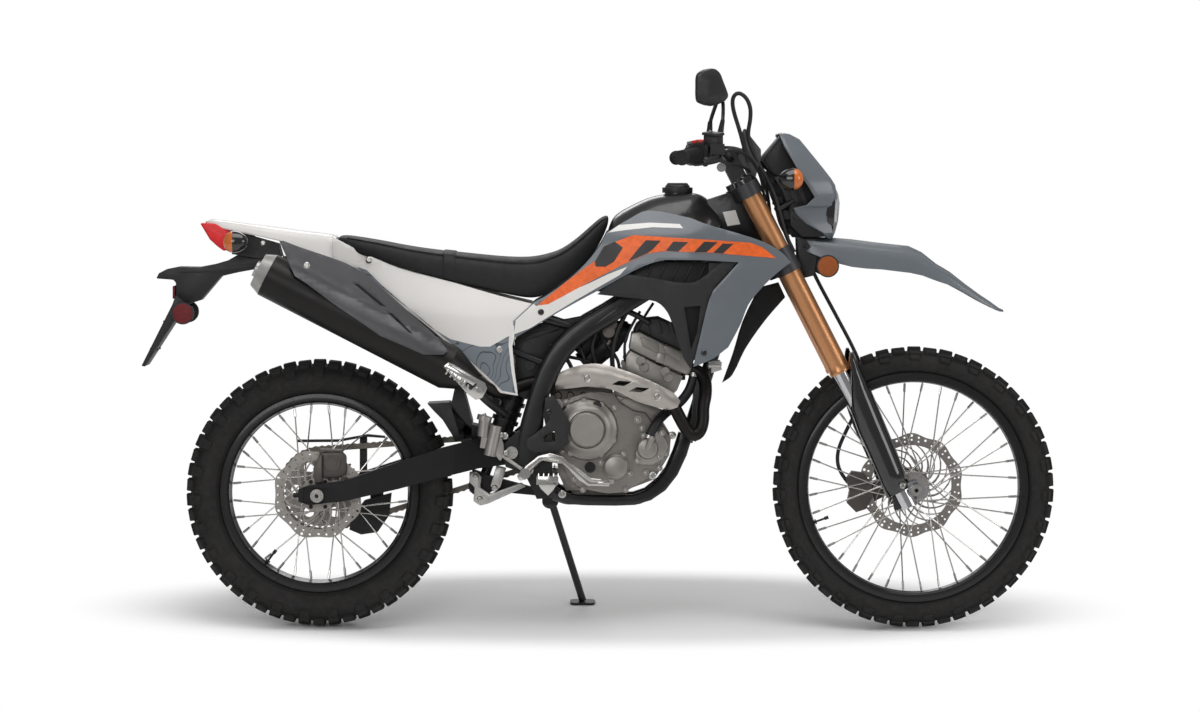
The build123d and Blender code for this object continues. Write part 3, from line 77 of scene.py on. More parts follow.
AHEAD = Vector((1, 0, 0))
LEFT = Vector(joints["rear_wheel_spin"]["axis"]).normalized()
ABOVE = AHEAD.cross(LEFT)
REAR_R = radius_of("rear_tyre")
FRONT_R = radius_of("front_tyre")
rear_axle = Vector(joints["rear_wheel_spin"]["pos_m"])
front_axle = Vector(joints["front_wheel_spin"]["pos_m"])
ground = rear_axle - ABOVE * REAR_R * MM
UPRIGHT = Matrix.Translation(ground) @ Matrix((AHEAD, LEFT, ABOVE)).transposed().to_4x4()
PLACE = UPRIGHT @ Matrix.Scale(MM, 4)
WHEELBASE = (front_axle - rear_axle).length / MM
REAR_AXLE = Vector((0, 0, REAR_R))
FRONT_AXLE = Vector((WHEELBASE, 0, FRONT_R))

# the fork's own axes
STEER_UP = UPRIGHT.to_3x3().inverted() @ Vector(joints["steering"]["axis"])
STEER_AHEAD = Vector((0, 1, 0)).cross(STEER_UP)
AXLE_LEAD = 33.0      # the axle ahead of the leg's middle line
FORK_Y = 96.0         # each leg from the machine's middle
LEG_FOOT = FRONT_AXLE - STEER_AHEAD * AXLE_LEAD
SIDES = ((-1, "right"), (1, "left"))


# ---- materials ----
def nodes_of(name):
    """A new material, its node tree and its shader."""
    material = bpy.data.materials.new(name)
    material.use_nodes = True
    tree = material.node_tree
    return material, tree, tree.nodes["Principled BSDF"]


def grain(tree, scale, detail=4.0, stretch=(1, 1, 1), rough=0.55):
    """A noise on Object coordinates."""
    where = tree.nodes.new("ShaderNodeTexCoord")
    turn = tree.nodes.new("ShaderNodeMapping")
    turn.inputs["Scale"].default_value = stretch
    noise = tree.nodes.new("ShaderNodeTexNoise")
    noise.inputs["Scale"].default_value = scale
    noise.inputs["Detail"].default_value = detail
    noise.inputs["Roughness"].default_value = rough
    tree.links.new(where.outputs["Object"], turn.inputs["Vector"])
    tree.links.new(turn.outputs["Vector"], noise.inputs["Vector"])
    return noise.outputs["Fac"]


def ramp(tree, factor, stops):
    """A colour ramp with (place, colour or grey) stops."""
    node = tree.nodes.new("ShaderNodeValToRGB")
    ends = node.color_ramp.elements
    while len(ends) < len(stops):
        ends.new(0.5)
    for end, (place, colour) in zip(ends, stops):
        end.position = place
        end.color = (colour, colour, colour, 1) if isinstance(colour, float) else (*colour, 1)
    tree.links.new(factor, node.inputs["Fac"])
    return node.outputs["Color"]


def bump(tree, shader, height, strength, distance):
    """A relief for the shader; the distance is in metres."""
    node = tree.nodes.new("ShaderNodeBump")
    node.inputs["Strength"].default_value = strength
    node.inputs["Distance"].default_value = distance
    tree.links.new(height, node.inputs["Height"])
    tree.links.new(node.outputs["Normal"], shader.inputs["Normal"])


def linear(level):
    """A display level from 0 to 255 as light."""
    c = level / 255
    return c / 12.92 if c <= 0.04045 else ((c + 0.055) / 1.055) ** 2.4


def shade(rgb, gain=1.0):
    """A display colour as light, made lighter or darker."""
    return tuple(min(1.0, linear(c) * gain) for c in rgb)


def surface(name, rgb, rough, metal, mottle, scale, wear, pits, pit_strength, coat, stretch=(1, 1, 1),
            pit_depth=0.0002):
    """A finish with a slow change of colour, a finer change of gloss, and a fine grain in its relief."""
    material, tree, shader = nodes_of(name)
    slow = grain(tree, scale, stretch=stretch)
    tree.links.new(ramp(tree, slow, [(0.3, shade(rgb, 1 - mottle)), (0.7, shade(rgb, 1 + mottle))]),
                   shader.inputs["Base Color"])
    fine = grain(tree, scale * 5, stretch=stretch)
    tree.links.new(ramp(tree, fine, [(0.3, max(0.02, rough - wear)), (0.7, min(1.0, rough + wear))]),
                   shader.inputs["Roughness"])
    shader.inputs["Metallic"].default_value = metal
    shader.inputs["Coat Weight"].default_value = coat
    shader.inputs["Coat Roughness"].default_value = 0.08
    bump(tree, shader, grain(tree, pits, detail=2.0, stretch=stretch), pit_strength, pit_depth)
    return material


# name, colour, roughness, metal, mottling and its scale, wear, grain and its strength, clear coat, what else
FINISHES = [
    ("tyre_rubber", (30, 28, 27), 0.82, 0, 0.25, 14, 0.08, 900, 0.35, 0, {}),
    ("rim_black", (24, 24, 25), 0.32, 0.3, 0.08, 30, 0.06, 400, 0.15, 0.3, {}),
    ("hub_silver", (172, 168, 164), 0.38, 0.9, 0.1, 30, 0.06, 1500, 0.15, 0, {}),
    ("spoke_steel", (196, 194, 190), 0.22, 1, 0.05, 30, 0.06, 400, 0.15, 0, {}),
    ("disc_steel", (166, 161, 156), 0.34, 1, 0.06, 30, 0.05, 400, 0.04, 0, {}),
    ("chain_steel", (120, 114, 106), 0.36, 0.9, 0.2, 120, 0.06, 400, 0.15, 0, {}),
    ("black_plastic", (27, 27, 28), 0.5, 0, 0.1, 18, 0.06, 1400, 0.3, 0, {}),
    ("frame_black", (21, 21, 22), 0.36, 0.2, 0.1, 12, 0.06, 400, 0.15, 0.2, {}),
    ("swingarm_metal", (34, 34, 36), 0.42, 0.6, 0.12, 10, 0.06, 900, 0.15, 0, {"stretch": (0.3, 1, 1)}),
    ("axle_steel", (190, 188, 184), 0.3, 1, 0.1, 60, 0.06, 400, 0.15, 0, {}),
    ("spring_steel", (40, 40, 42), 0.34, 0.4, 0.1, 30, 0.06, 400, 0.15, 0.3, {}),
    ("engine_grey", (142, 138, 133), 0.5, 0.75, 0.12, 16, 0.1, 1600, 0.3, 0, {}),
    ("engine_dark", (112, 106, 101), 0.48, 0.75, 0.12, 16, 0.1, 1600, 0.3, 0, {}),
    ("engine_bright", (156, 152, 147), 0.4, 0.8, 0.08, 16, 0.08, 1600, 0.12, 0, {}),
    ("polished", (206, 204, 200), 0.16, 1, 0.05, 30, 0.04, 400, 0.15, 0, {}),
    ("exhaust_steel", (46, 44, 43), 0.42, 0.9, 0.25, 9, 0.1, 400, 0.15, 0, {}),
    ("muffler_black", (30, 28, 27), 0.4, 0.5, 0.08, 9, 0.06, 1200, 0.15, 0, {}),
    ("cap_silver", (188, 186, 183), 0.4, 0.8, 0.06, 20, 0.06, 400, 0.15, 0, {}),
    ("guard_grey", (80, 80, 82), 0.4, 0.4, 0.16, 7, 0.06, 400, 0.15, 0, {}),
    ("shield_steel", (182, 176, 170), 0.4, 0.95, 0.12, 9, 0.08, 400, 0.15, 0, {"stretch": (0.25, 1, 1.6)}),
    ("tank_black", (30, 30, 31), 0.34, 0, 0.06, 8, 0.06, 400, 0.15, 0.5, {}),
    ("seat_vinyl", (22, 22, 22), 0.66, 0, 0.12, 10, 0.06, 1100, 0.5, 0, {"pit_depth": 0.0004}),
    ("panel_grey", (104, 110, 116), 0.34, 0, 0.03, 6, 0.06, 400, 0.03, 0.3, {}),
    ("stripe_orange", (244, 104, 34), 0.4, 0, 0.16, 90, 0.03, 400, 0.03, 0, {}),
    ("mark_black", (40, 38, 38), 0.4, 0, 0.06, 12, 0.03, 400, 0.03, 0, {}),
    ("panel_white", (237, 234, 230), 0.36, 0, 0.015, 6, 0.06, 400, 0.03, 0.3, {}),
    ("switch_red", (200, 40, 24), 0.4, 0, 0.06, 30, 0.06, 400, 0.15, 0, {}),
    ("mirror_glass", (170, 176, 182), 0.05, 1, 0.03, 30, 0.06, 400, 0.01, 0, {}),
    ("lens_red", (224, 18, 24), 0.45, 0, 0.16, 110, 0.06, 400, 0.15, 0.05, {}),
    ("lens_amber", (214, 112, 38), 0.16, 0, 0.12, 50, 0.06, 400, 0.15, 0.8, {}),
    ("reflector_amber", (150, 74, 14), 0.6, 0, 0.14, 160, 0.06, 400, 0.15, 0, {}),
    ("reflector_red", (104, 6, 12), 0.6, 0, 0.14, 160, 0.06, 400, 0.15, 0, {}),
    ("radiator_alloy", (92, 92, 94), 0.5, 0.8, 0.12, 40, 0.06, 400, 0.15, 0, {"stretch": (1, 1, 8)}),
    ("caliper_dark", (96, 92, 88), 0.46, 0.8, 0.12, 24, 0.06, 1500, 0.15, 0, {}),
    ("clamp_grey", (78, 78, 80), 0.42, 0.8, 0.08, 20, 0.06, 1500, 0.15, 0, {}),
    ("fork_gold", (204, 146, 102), 0.36, 0.85, 0.03, 5, 0.03, 400, 0.03, 0, {}),
    ("fork_chrome", (205, 205, 208), 0.1, 1, 0.03, 30, 0.06, 400, 0.15, 0, {}),
    ("black_gloss", (20, 20, 21), 0.14, 0, 0.08, 8, 0.06, 400, 0.15, 0.8, {}),
    ("bar_black", (28, 28, 29), 0.34, 0.5, 0.1, 30, 0.06, 400, 0.15, 0.2, {}),
    ("grip_rubber", (28, 28, 28), 0.8, 0, 0.14, 40, 0.06, 800, 0.4, 0, {}),
    ("lens_clear", (214, 218, 222), 0.06, 0, 0.03, 20, 0.06, 400, 0.15, 1, {}),
]
MATERIALS = {finish[0]: surface(*finish[:-1], **finish[-1]) for finish in FINISHES}


def contour_lines(name, ground, line):
    """Thin level lines of a slow noise, as on a map, on a plain ground."""
    material, tree, shader = nodes_of(name)
    slow = grain(tree, 9.0, detail=1.5, rough=0.4)
    steps = tree.nodes.new("ShaderNodeMath")
    steps.operation = "MULTIPLY"
    steps.inputs[1].default_value = 22.0
    tree.links.new(slow, steps.inputs[0])
    part = tree.nodes.new("ShaderNodeMath")
    part.operation = "FRACT"
    tree.links.new(steps.outputs["Value"], part.inputs[0])
    tree.links.new(ramp(tree, part.outputs["Value"], [(0.0, shade(line)), (0.10, shade(line)), (0.16, shade(ground)),
                                                      (1.0, shade(ground))]), shader.inputs["Base Color"])
    shader.inputs["Roughness"].default_value = 0.42
    return material


MATERIALS["contour_grey"] = contour_lines("contour_grey", (118, 126, 133), (62, 68, 74))

for subpart in frame["record"]["subparts"]:
    node = frame["nodes"][subpart["node"]]
    node.data.materials.clear()
    node.data.materials.append(MATERIALS[subpart["material_slot"]])


def creases(bm, angle):
    """The edges where two faces meet at more than the angle, in degrees."""
    limit = math.radians(angle)
    return [e for e in bm.edges if e.is_manifold and e.calc_face_angle(0) > limit]


def outward(bm):
    """Turns the faces to look out."""
    bmesh.ops.recalc_face_normals(bm, faces=bm.faces)
    return bm


def moved(bm, matrix):
    """Takes the whole shape through a matrix."""
    bmesh.ops.transform(bm, matrix=matrix, verts=bm.verts)
    return bm


def to_object(name, bm, slot, body="chassis", angle=32.0, recalc=True):
    """The shape, modelled in the upright frame, as a smooth piece with sharp edges that rides on a body."""
    if recalc:
        outward(bm)
    moved(bm, PLACE)
    sharp = set(creases(bm, angle))
    for face in bm.faces:
        face.smooth = True
    for edge in bm.edges:
        edge.smooth = edge not in sharp
    mesh = bpy.data.meshes.new(name)
    bm.to_mesh(mesh)
    bm.free()
    mesh.materials.append(MATERIALS[slot])
    piece = bpy.data.objects.new(name, mesh)
    bpy.context.scene.collection.objects.link(piece)
    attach(piece, body)
    return piece


def walled(piece, thickness, offset=-1):
    """Gives an open skin a wall, in metres."""
    wall = piece.modifiers.new("wall", "SOLIDIFY")
    wall.thickness = thickness
    wall.offset = offset


# ---- outlines, sheets and hulls ----
def curve_through(points, sharp):
    """A smooth closed line through the points; those in sharp stay corners."""
    count = len(points)
    at = [Vector((x, z, 0)) for x, z in points]
    line = []
    for i in range(count):
        before, a, b, after = at[i - 1], at[i], at[(i + 1) % count], at[(i + 2) % count]
        straight = b - a
        if i in sharp and (i + 1) % count in sharp:
            line.append(a)
            continue
        lean_a = straight if i in sharp else (b - before) / 2
        lean_b = straight if (i + 1) % count in sharp else (after - a) / 2
        reach = straight.length
        lean_a = lean_a.normalized() * reach / 3 if lean_a.length else lean_a
        lean_b = lean_b.normalized() * reach / 3 if lean_b.length else lean_b
        line += [Vector(p) for p in interpolate_bezier(a, a + lean_a, b - lean_b, b, 4)[:-1]]
    return [(p.x, p.y) for p in line]


def eased(pairs, t):
    """A value read from (place, value) pairs, half smoothed and half straight between them."""
    if t <= pairs[0][0]:
        return pairs[0][1]
    for (p0, v0), (p1, v1) in zip(pairs, pairs[1:]):
        if t <= p1:
            share = (t - p0) / (p1 - p0)
            share = share * share * (3 - 2 * share) * 0.5 + share * 0.5
            return v0 + (v1 - v0) * share
    return pairs[-1][1]


def over(stations, x, z):
    """How far out a flank stands at (x, z): stations are (x, [(z, y), ...])."""
    return eased([(at, eased(levels, z)) for at, levels in stations], x)


def extruded(bm, way):
    """Gives flat faces a thickness along a vector."""
    grown = bmesh.ops.extrude_face_region(bm, geom=bm.faces[:])
    far = [v for v in grown["geom"] if isinstance(v, bmesh.types.BMVert)]
    bmesh.ops.translate(bm, vec=way, verts=far)
    return outward(bm)


def soften(bm, offset, angle=40.0, segments=2):
    """Rounds the edges that turn by more than the angle."""
    bmesh.ops.bevel(bm, geom=creases(bm, angle), offset=offset, segments=segments, profile=0.5, affect="EDGES",
                    material=-1, clamp_overlap=True)
    return bm


def sheet(outline, depth, wall, side=-1, cell=16.0, edge=0.7, holes=()):
    """A panel: an (x, z) outline bent over a flank, with a wall and rounded edges."""
    bm = bmesh.new()
    ring = [bm.verts.new((x, 0, z)) for x, z in outline]
    bm.faces.new(ring)
    for i, normal in ((0, Vector((1, 0, 0))), (2, Vector((0, 0, 1)))):
        first = min(v.co[i] for v in ring)
        last = max(v.co[i] for v in ring)
        count = int((last - first) / cell)
        for k in range(1, count + 1):
            place = Vector((0, 0, 0))
            place[i] = first + (last - first) * k / (count + 1)
            bmesh.ops.bisect_plane(bm, geom=bm.verts[:] + bm.edges[:] + bm.faces[:], dist=0.01,
                                   plane_co=place, plane_no=normal)
    for hole in holes:
        cut_hole(bm, hole)
    for v in bm.verts:
        v.co.y = side * depth(v.co.x, v.co.z)
    extruded(bm, (0, -side * wall, 0))
    return soften(bm, min(edge, wall * 0.4), 60) if edge else bm


def cut_hole(bm, hole):
    """Takes the faces inside a convex (x, z) outline out of a flat sheet."""
    count = len(hole)
    centre = Vector((sum(x for x, z in hole) / count, 0, sum(z for x, z in hole) / count))
    reach = max((Vector((x, 0, z)) - centre).length for x, z in hole) + 30
    sides = []
    for (x0, z0), (x1, z1) in zip(hole, hole[1:] + hole[:1]):
        place = Vector((x0, 0, z0))
        normal = Vector((z1 - z0, 0, x0 - x1)).normalized()
        if (centre - place).dot(normal) > 0:
            normal.negate()
        sides.append((place, normal))
        geom = set(f for f in bm.faces if (f.calc_center_median() - centre).length < reach)
        for f in list(geom):
            geom.update(f.edges)
            geom.update(f.verts)
        bmesh.ops.bisect_plane(bm, geom=list(geom), dist=0.01, plane_co=place, plane_no=normal)
    inside = [f for f in bm.faces if all((f.calc_center_median() - p).dot(n) < 0 for p, n in sides)]
    bmesh.ops.delete(bm, geom=inside, context="FACES")


def hull(rings, closed=True):
    """A skin through rings of points with as many points each, with ends where the rings are closed."""
    bm = bmesh.new()
    loops = []
    for ring in rings:
        verts = [bm.verts.new(p) for p in ring]
        last = len(verts) if closed else len(verts) - 1
        loops.append([bm.edges.new((verts[i], verts[(i + 1) % len(verts)])) for i in range(last)])
    for a, b in zip(loops, loops[1:]):
        bmesh.ops.bridge_loops(bm, edges=a + b)
    if closed:
        bmesh.ops.holes_fill(bm, edges=loops[0] + loops[-1], sides=0)
    return outward(bm)


def mirrored(half):
    """A closed ring from half a section, top to bottom, as (y, z)."""
    return half + [(-y, z) for y, z in reversed(half) if y > 0.01]


def both_ways(half):
    """An open line of points from its left half, which starts in the middle."""
    return [(x, -y, z) for x, y, z in reversed(half[1:])] + half


def subdivide(piece):
    """Smooths a crowned shape by two rounds of subdivision."""
    step = piece.modifiers.new("smooth", "SUBSURF")
    step.levels = step.render_levels = 2


def spun(points, centre, axis, steps):
    """A shape turned about an axis, from a line of points."""
    bm = bmesh.new()
    verts = [bm.verts.new(p) for p in points]
    edges = [bm.edges.new(pair) for pair in zip(verts, verts[1:])]
    bmesh.ops.spin(bm, geom=verts + edges, cent=centre, axis=axis, angle=2 * math.pi, steps=steps, use_merge=True)
    bmesh.ops.remove_doubles(bm, verts=bm.verts, dist=0.01)
    return outward(bm)


def turned(profile, centre, steps=64):
    """A shape turned about a line along Y; the profile is (radius, y)."""
    x, _, z = centre
    return spun([(x, y, z + r) for r, y in profile], (x, 0, z), (0, 1, 0), steps)


def turned_at(x, z, profile, steps=48):
    """A cover on the right, turned about a line along Y through (x, z): its profile is (radius, distance out)."""
    return turned([(r, -y) for r, y in profile] + [(0, -profile[-1][1])], (x, 0, z), steps)


def prism(outline, y0, y1, edge=0.0, segments=2):
    """A solid with an (x, z) outline from y0 to y1."""
    bm = bmesh.new()
    bm.faces.new([bm.verts.new((x, y0, z)) for x, z in outline])
    extruded(bm, (0, y1 - y0, 0))
    return soften(bm, edge, segments=segments) if edge else bm


def join(bm, *others):
    """Adds other shapes to this one."""
    for other in others:
        spare = bpy.data.meshes.new("spare")
        other.to_mesh(spare)
        other.free()
        bm.from_mesh(spare)
        bpy.data.meshes.remove(spare)
    return bm


def tube(points, radius, segments=12):
    """A round bar along a smooth line through the points."""
    path = bpy.data.curves.new("path", "CURVE")
    path.dimensions = "3D"
    path.bevel_depth = radius
    path.bevel_resolution = max(1, segments // 4)
    path.use_fill_caps = True
    path.resolution_u = 6
    line = path.splines.new("NURBS")
    line.points.add(len(points) - 1)
    for point, place in zip(line.points, points):
        point.co = (*place, 1)
    line.order_u = 3
    line.use_endpoint_u = True
    holder = bpy.data.objects.new("path", path)
    mesh = bpy.data.meshes.new_from_object(holder)
    bm = bmesh.new()
    bm.from_mesh(mesh)
    bpy.data.meshes.remove(mesh)
    bpy.data.objects.remove(holder)
    bpy.data.curves.remove(path)
    return bm


def seated(place, out):
    """The matrix that takes Z to the way a thing faces, at its place."""
    return Matrix.Translation(place) @ Vector(out).to_track_quat("Z", "Y").to_matrix().to_4x4()


def rod(start, end, radius, segments=16, radius_end=None):
    """A straight round bar."""
    a, b = Vector(start), Vector(end)
    bm = bmesh.new()
    bmesh.ops.create_cone(bm, cap_ends=True, segments=segments, radius1=radius,
                          radius2=radius if radius_end is None else radius_end, depth=(b - a).length)
    return moved(bm, seated((a + b) / 2, b - a))


def stub(x, z, y0, y1, radius, segments=16, radius_end=None):
    """A round bar across the machine."""
    return rod((x, y0, z), (x, y1, z), radius, segments, radius_end)


def ball(centre, radii):
    """An ellipsoid."""
    bm = bmesh.new()
    bmesh.ops.create_uvsphere(bm, u_segments=16, v_segments=10, radius=1)
    bmesh.ops.scale(bm, vec=radii, verts=bm.verts)
    bmesh.ops.translate(bm, vec=centre, verts=bm.verts)
    return bm


def screw(place, out, radius=6.0, height=3.0):
    """A button head with a round socket, seated at place and facing out."""
    profile = [(radius, -1.0), (radius, height * 0.35), (radius * 0.8, height * 0.85), (radius * 0.55, height),
               (radius * 0.48, height), (radius * 0.45, height * 0.25), (0.0, height * 0.25)]
    return moved(spun([(a, 0, b) for a, b in profile], (0, 0, 0), (0, 0, 1), 18), seated(place, out))


def bolts(name, places, slot="axle_steel", radius=6.0):
    """Button heads, each given as its seat and the way it faces."""
    to_object(name, join(bmesh.new(), *[screw(place, out, radius) for place, out in places]), slot)


def bolts_right(name, places, slot="axle_steel", radius=6.0):
    """Button heads that face right, each at (x, y, z)."""
    bolts(name, [(place, (0, -1, 0)) for place in places], slot, radius)


# ---- bodywork ----
# how far out the flank stands: at each x, by height
FLANK = [(470, [(600, 121), (760, 121), (800, 119), (1020, 108)]),
         (600, [(600, 123), (800, 126), (860, 124), (1020, 112)]),
         (700, [(600, 127), (860, 133), (930, 131), (1010, 104)]),
         (800, [(600, 140), (860, 147), (948, 142), (1015, 98)]),
         (900, [(600, 148), (870, 158), (950, 150), (1005, 118)]),
         (1000, [(600, 152), (880, 160), (938, 152), (975, 140)]),
         (1100, [(600, 150), (880, 154), (915, 148), (950, 142)]),
         (1150, [(600, 146), (880, 148), (900, 146), (930, 144)])]
PANEL_FLANK = [(60, [(560, 88), (920, 88)]), (200, [(560, 106), (780, 106), (880, 98)]),
               (400, [(560, 119), (760, 119), (840, 110)]), (530, [(560, 121), (780, 120), (820, 114)])]
SHROUD = [(472, 748), (472, 705), (513, 729), (561, 758), (633, 799), (681, 825), (753, 866), (801, 888),
          (837, 897), (921, 897), (1013, 892), (953, 825), (941, 796), (921, 712), (905, 640), (950, 659),
          (989, 688), (1018, 743), (1037, 791), (1066, 828), (1102, 864), (1138, 892), (1121, 912), (1090, 933),
          (1042, 952), (933, 984), (897, 998), (796, 1015), (753, 996), (696, 962), (681, 933), (657, 900),
          (609, 852), (549, 808), (523, 794)]
SHROUD_SHARP = (0, 1, 8, 9, 10, 11, 14, 16, 21, 26, 29)
INSERT = [(674, 813), (734, 864), (802, 854), (898, 842), (939, 864), (975, 893), (1010, 893), (953, 825),
          (940, 796), (920, 712), (903, 642), (898, 636), (881, 664), (862, 724), (842, 772), (814, 797),
          (741, 806)]
INSERT_SHARP = (0, 1, 6, 11)
INSERT_HOLE = [(883, 784), (922, 787), (915, 724), (900, 681)]
INSERT_SUNK = 5.0
SIDE_PANEL = [(87, 878), (152, 821), (248, 748), (320, 688), (400, 616), (432, 585), (441, 575), (484, 568),
              (465, 688), (474, 712), (472, 744), (517, 790), (441, 808), (320, 842), (200, 873), (128, 902)]
SIDE_PANEL_SHARP = (0, 6, 7, 10, 11, 15)
PANEL_WALL = 3.0
VANE = [(1071, 824), (1031, 738), (1009, 664), (982, 588), (1007, 607), (1039, 672), (1088, 743), (1137, 800),
        (1120, 837)]


def flank_y(x, z):
    """How far out the painted panels stand."""
    return over(FLANK, x, z)


def panel_y(x, z):
    """How far out the side panels stand."""
    return over(PANEL_FLANK, x, z)


def panels(*rows):
    """Moulded panels on each side, each standing for a node."""
    for side, label in SIDES:
        for name, node, slot, outline, sharp, depth, holes in rows:
            panel = sheet(curve_through(outline, sharp), depth, PANEL_WALL, side, holes=holes)
            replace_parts(to_object(f"{name}_{label}", panel, slot), node)


panels(("shroud", "shrouds", "panel_grey", SHROUD, SHROUD_SHARP, flank_y, ()),
       ("shroud_insert", "shroud_inserts", "black_plastic", INSERT, INSERT_SHARP,
        lambda x, z: flank_y(x, z) - INSERT_SUNK, (INSERT_HOLE,)))
panels(("side_panel", "side_panels", "panel_white", SIDE_PANEL, SIDE_PANEL_SHARP, panel_y, ()))

# ---- stripes and marks on the panels, and a painted highlight on the shrouds ----
ORANGE = [(530, 786), (556, 789), (657, 844), (729, 882), (794, 912), (835, 918), (945, 915), (1103, 902),
          (1070, 928), (1041, 939), (921, 947), (760, 956), (694, 931), (669, 894), (645, 878), (609, 851),
          (573, 822)]
WHITE = [(474, 716), (513, 731), (559, 760), (621, 798), (674, 829), (728, 860), (746, 880), (700, 862), (657, 841),
         (602, 817), (527, 784), (521, 790), (478, 750)]
BARS = [[(668, 892), (690, 929), (716, 940), (735, 926), (714, 892), (694, 880), (670, 880)],
        [(748, 893), (770, 921), (790, 944), (826, 943), (806, 921), (794, 913), (766, 900)],
        [(838, 919), (856, 941), (892, 940), (868, 917)],
        [(906, 916), (930, 941), (962, 940), (936, 916)],
        [(952, 915), (975, 937), (1000, 936), (975, 913)]]
# a thin white crescent along the shroud's rounded upper shoulder: a painted highlight, where light from above catches
# that curve
PAINTED_SHROUD_HIGHLIGHT = [(700, 962), (726, 980), (800, 986), (872, 983), (880, 973), (806, 975), (742, 968)]
CONTOURS = [(96, 876), (118, 869), (152, 835), (210, 786), (272, 733), (320, 704), (392, 686), (416, 686),
            (462, 712), (461, 690), (478, 574), (446, 580), (436, 590), (402, 622), (322, 694), (250, 754),
            (154, 827), (96, 873)]
TRIM = [(466, 700), (461, 690), (468, 626), (477, 578), (483, 577), (476, 626), (470, 688), (475, 706), (474, 738),
        (468, 736), (467, 712)]
# name, outline, flank, finish, how far its face stands off the panel, and its thickness
MARKS = [("stripe_orange", ORANGE, flank_y, "stripe_orange", 0.95, 1.2),
         ("stripe_white", WHITE, flank_y, "panel_white", 0.5, 1.2),
         *[(f"stripe_bar_{i}", bar, flank_y, "mark_black", 1.4, 1.2) for i, bar in enumerate(BARS)],
         # the painted highlight on the shroud's upper shoulder, in white
         ("painted_shroud_highlight", PAINTED_SHROUD_HIGHLIGHT, flank_y, "panel_white", 0.5, 1.2),
         ("contours", CONTOURS, panel_y, "contour_grey", 0.5, 1.2),
         ("panel_trim", TRIM, panel_y, "panel_white", 1.6, 2.0)]
for side, label in SIDES:
    for name, outline, depth, slot, lift, wall in MARKS:
        raised = sheet(outline, lambda x, z: depth(x, z) + lift, wall, side, cell=12.0, edge=0)
        to_object(f"{name}_{label}", raised, slot)
for name, depth, lift, places, slot, radius in (
        ("shroud_bolts", flank_y, 0.2, ((539, 770), (931, 674)), "black_gloss", 7.5),
        ("panel_bolts", panel_y, 1.2, ((438, 679), (123, 893)), "axle_steel", 8)):
    bolts(name, [((x, side * (depth(x, z) + lift), z), (0, side, 0)) for side, _ in SIDES for x, z in places],
          slot, radius)

# ---- dark parts behind the panels ----
DUCT = [(690, 826), (738, 862), (800, 892), (946, 890), (940, 800), (925, 716), (905, 655), (882, 690), (866, 750),
        (846, 790), (800, 812), (742, 816)]
CORNER = [(940, 842), (942, 890), (1004, 890), (962, 850)]
AIRBOX = [(474, 700), (500, 722), (548, 742), (600, 748), (640, 756), (596, 712), (570, 690), (552, 650),
          (536, 610), (520, 566), (500, 556), (486, 566), (478, 620)]
for side, label in SIDES:
    duct = prism(DUCT, side * 106, side * 110, 1.0)
    for i in range(7):
        x, z = 716 + 32 * i, 822 + 4 * min(i, 3)
        join(duct, prism([(x, z), (x + 4, z), (x + 30, 886), (x + 25, 886)], side * 109, side * 114, 0.8))
    to_object(f"inner_duct_{label}", duct, "black_plastic")
    to_object(f"inner_corner_{label}", prism(CORNER, side * 134, side * 137, 0.8), "black_plastic")
    box_side = join(prism(AIRBOX, side * 60, side * 66, 2.0),
                    prism([(500, 700), (508, 712), (590, 738), (584, 726)], side * 65, side * 72, 1.5),
                    stub(512, 640, side * 66, side * 74, 12, 24))
    to_object(f"airbox_side_{label}", box_side, "black_plastic")
to_object("radiator_vane", sheet(curve_through(VANE, (0, 3, 7, 8)), lambda x, z: 138.0, 3.0, 1), "black_plastic")


# ---- wheels ----
LUG_H = 11.0          # a block stands this far out of the carcass
LUG_ROOT = 4.0        # and starts this far inside it
LUG_TAPER = 3.0       # its top is this much smaller each way
LUG_PAIRS = 27
# end, axle, tyre's radius and half width, rim's outer and inner radius
WHEELS = (("front", FRONT_AXLE, FRONT_R, 42.0, 280.7, 255.0), ("rear", REAR_AXLE, REAR_R, 60.0, 242.6, 214.0))


def lug(bm, centre, angle, y, radius, tilt, length, width, height):
    """One tread block: along the tread, across it, and standing out from the carcass."""
    radial = Vector((math.sin(angle), 0, math.cos(angle)))
    along = Vector((math.cos(angle), 0, -math.sin(angle)))
    side = Vector((0, 1, 0))
    out = radial * math.cos(tilt) + side * math.sin(tilt)
    across = side * math.cos(tilt) - radial * math.sin(tilt)
    seat = centre + radial * radius + side * y
    frame_of = Matrix((along, across, out)).transposed().to_4x4()
    block = bmesh.ops.create_cube(bm, size=1.0)["verts"]
    for v in block:
        top = v.co.z > 0
        v.co.x *= length - (LUG_TAPER if top else 0)
        v.co.y *= width - (LUG_TAPER if top else 0)
        v.co.z = height if top else -LUG_ROOT
    bmesh.ops.transform(bm, matrix=Matrix.Translation(seat) @ frame_of, verts=block)
    edges = {e for v in block for e in v.link_edges}
    bmesh.ops.bevel(bm, geom=list(edges), offset=1.0, segments=1, profile=0.5, affect="EDGES", material=-1)


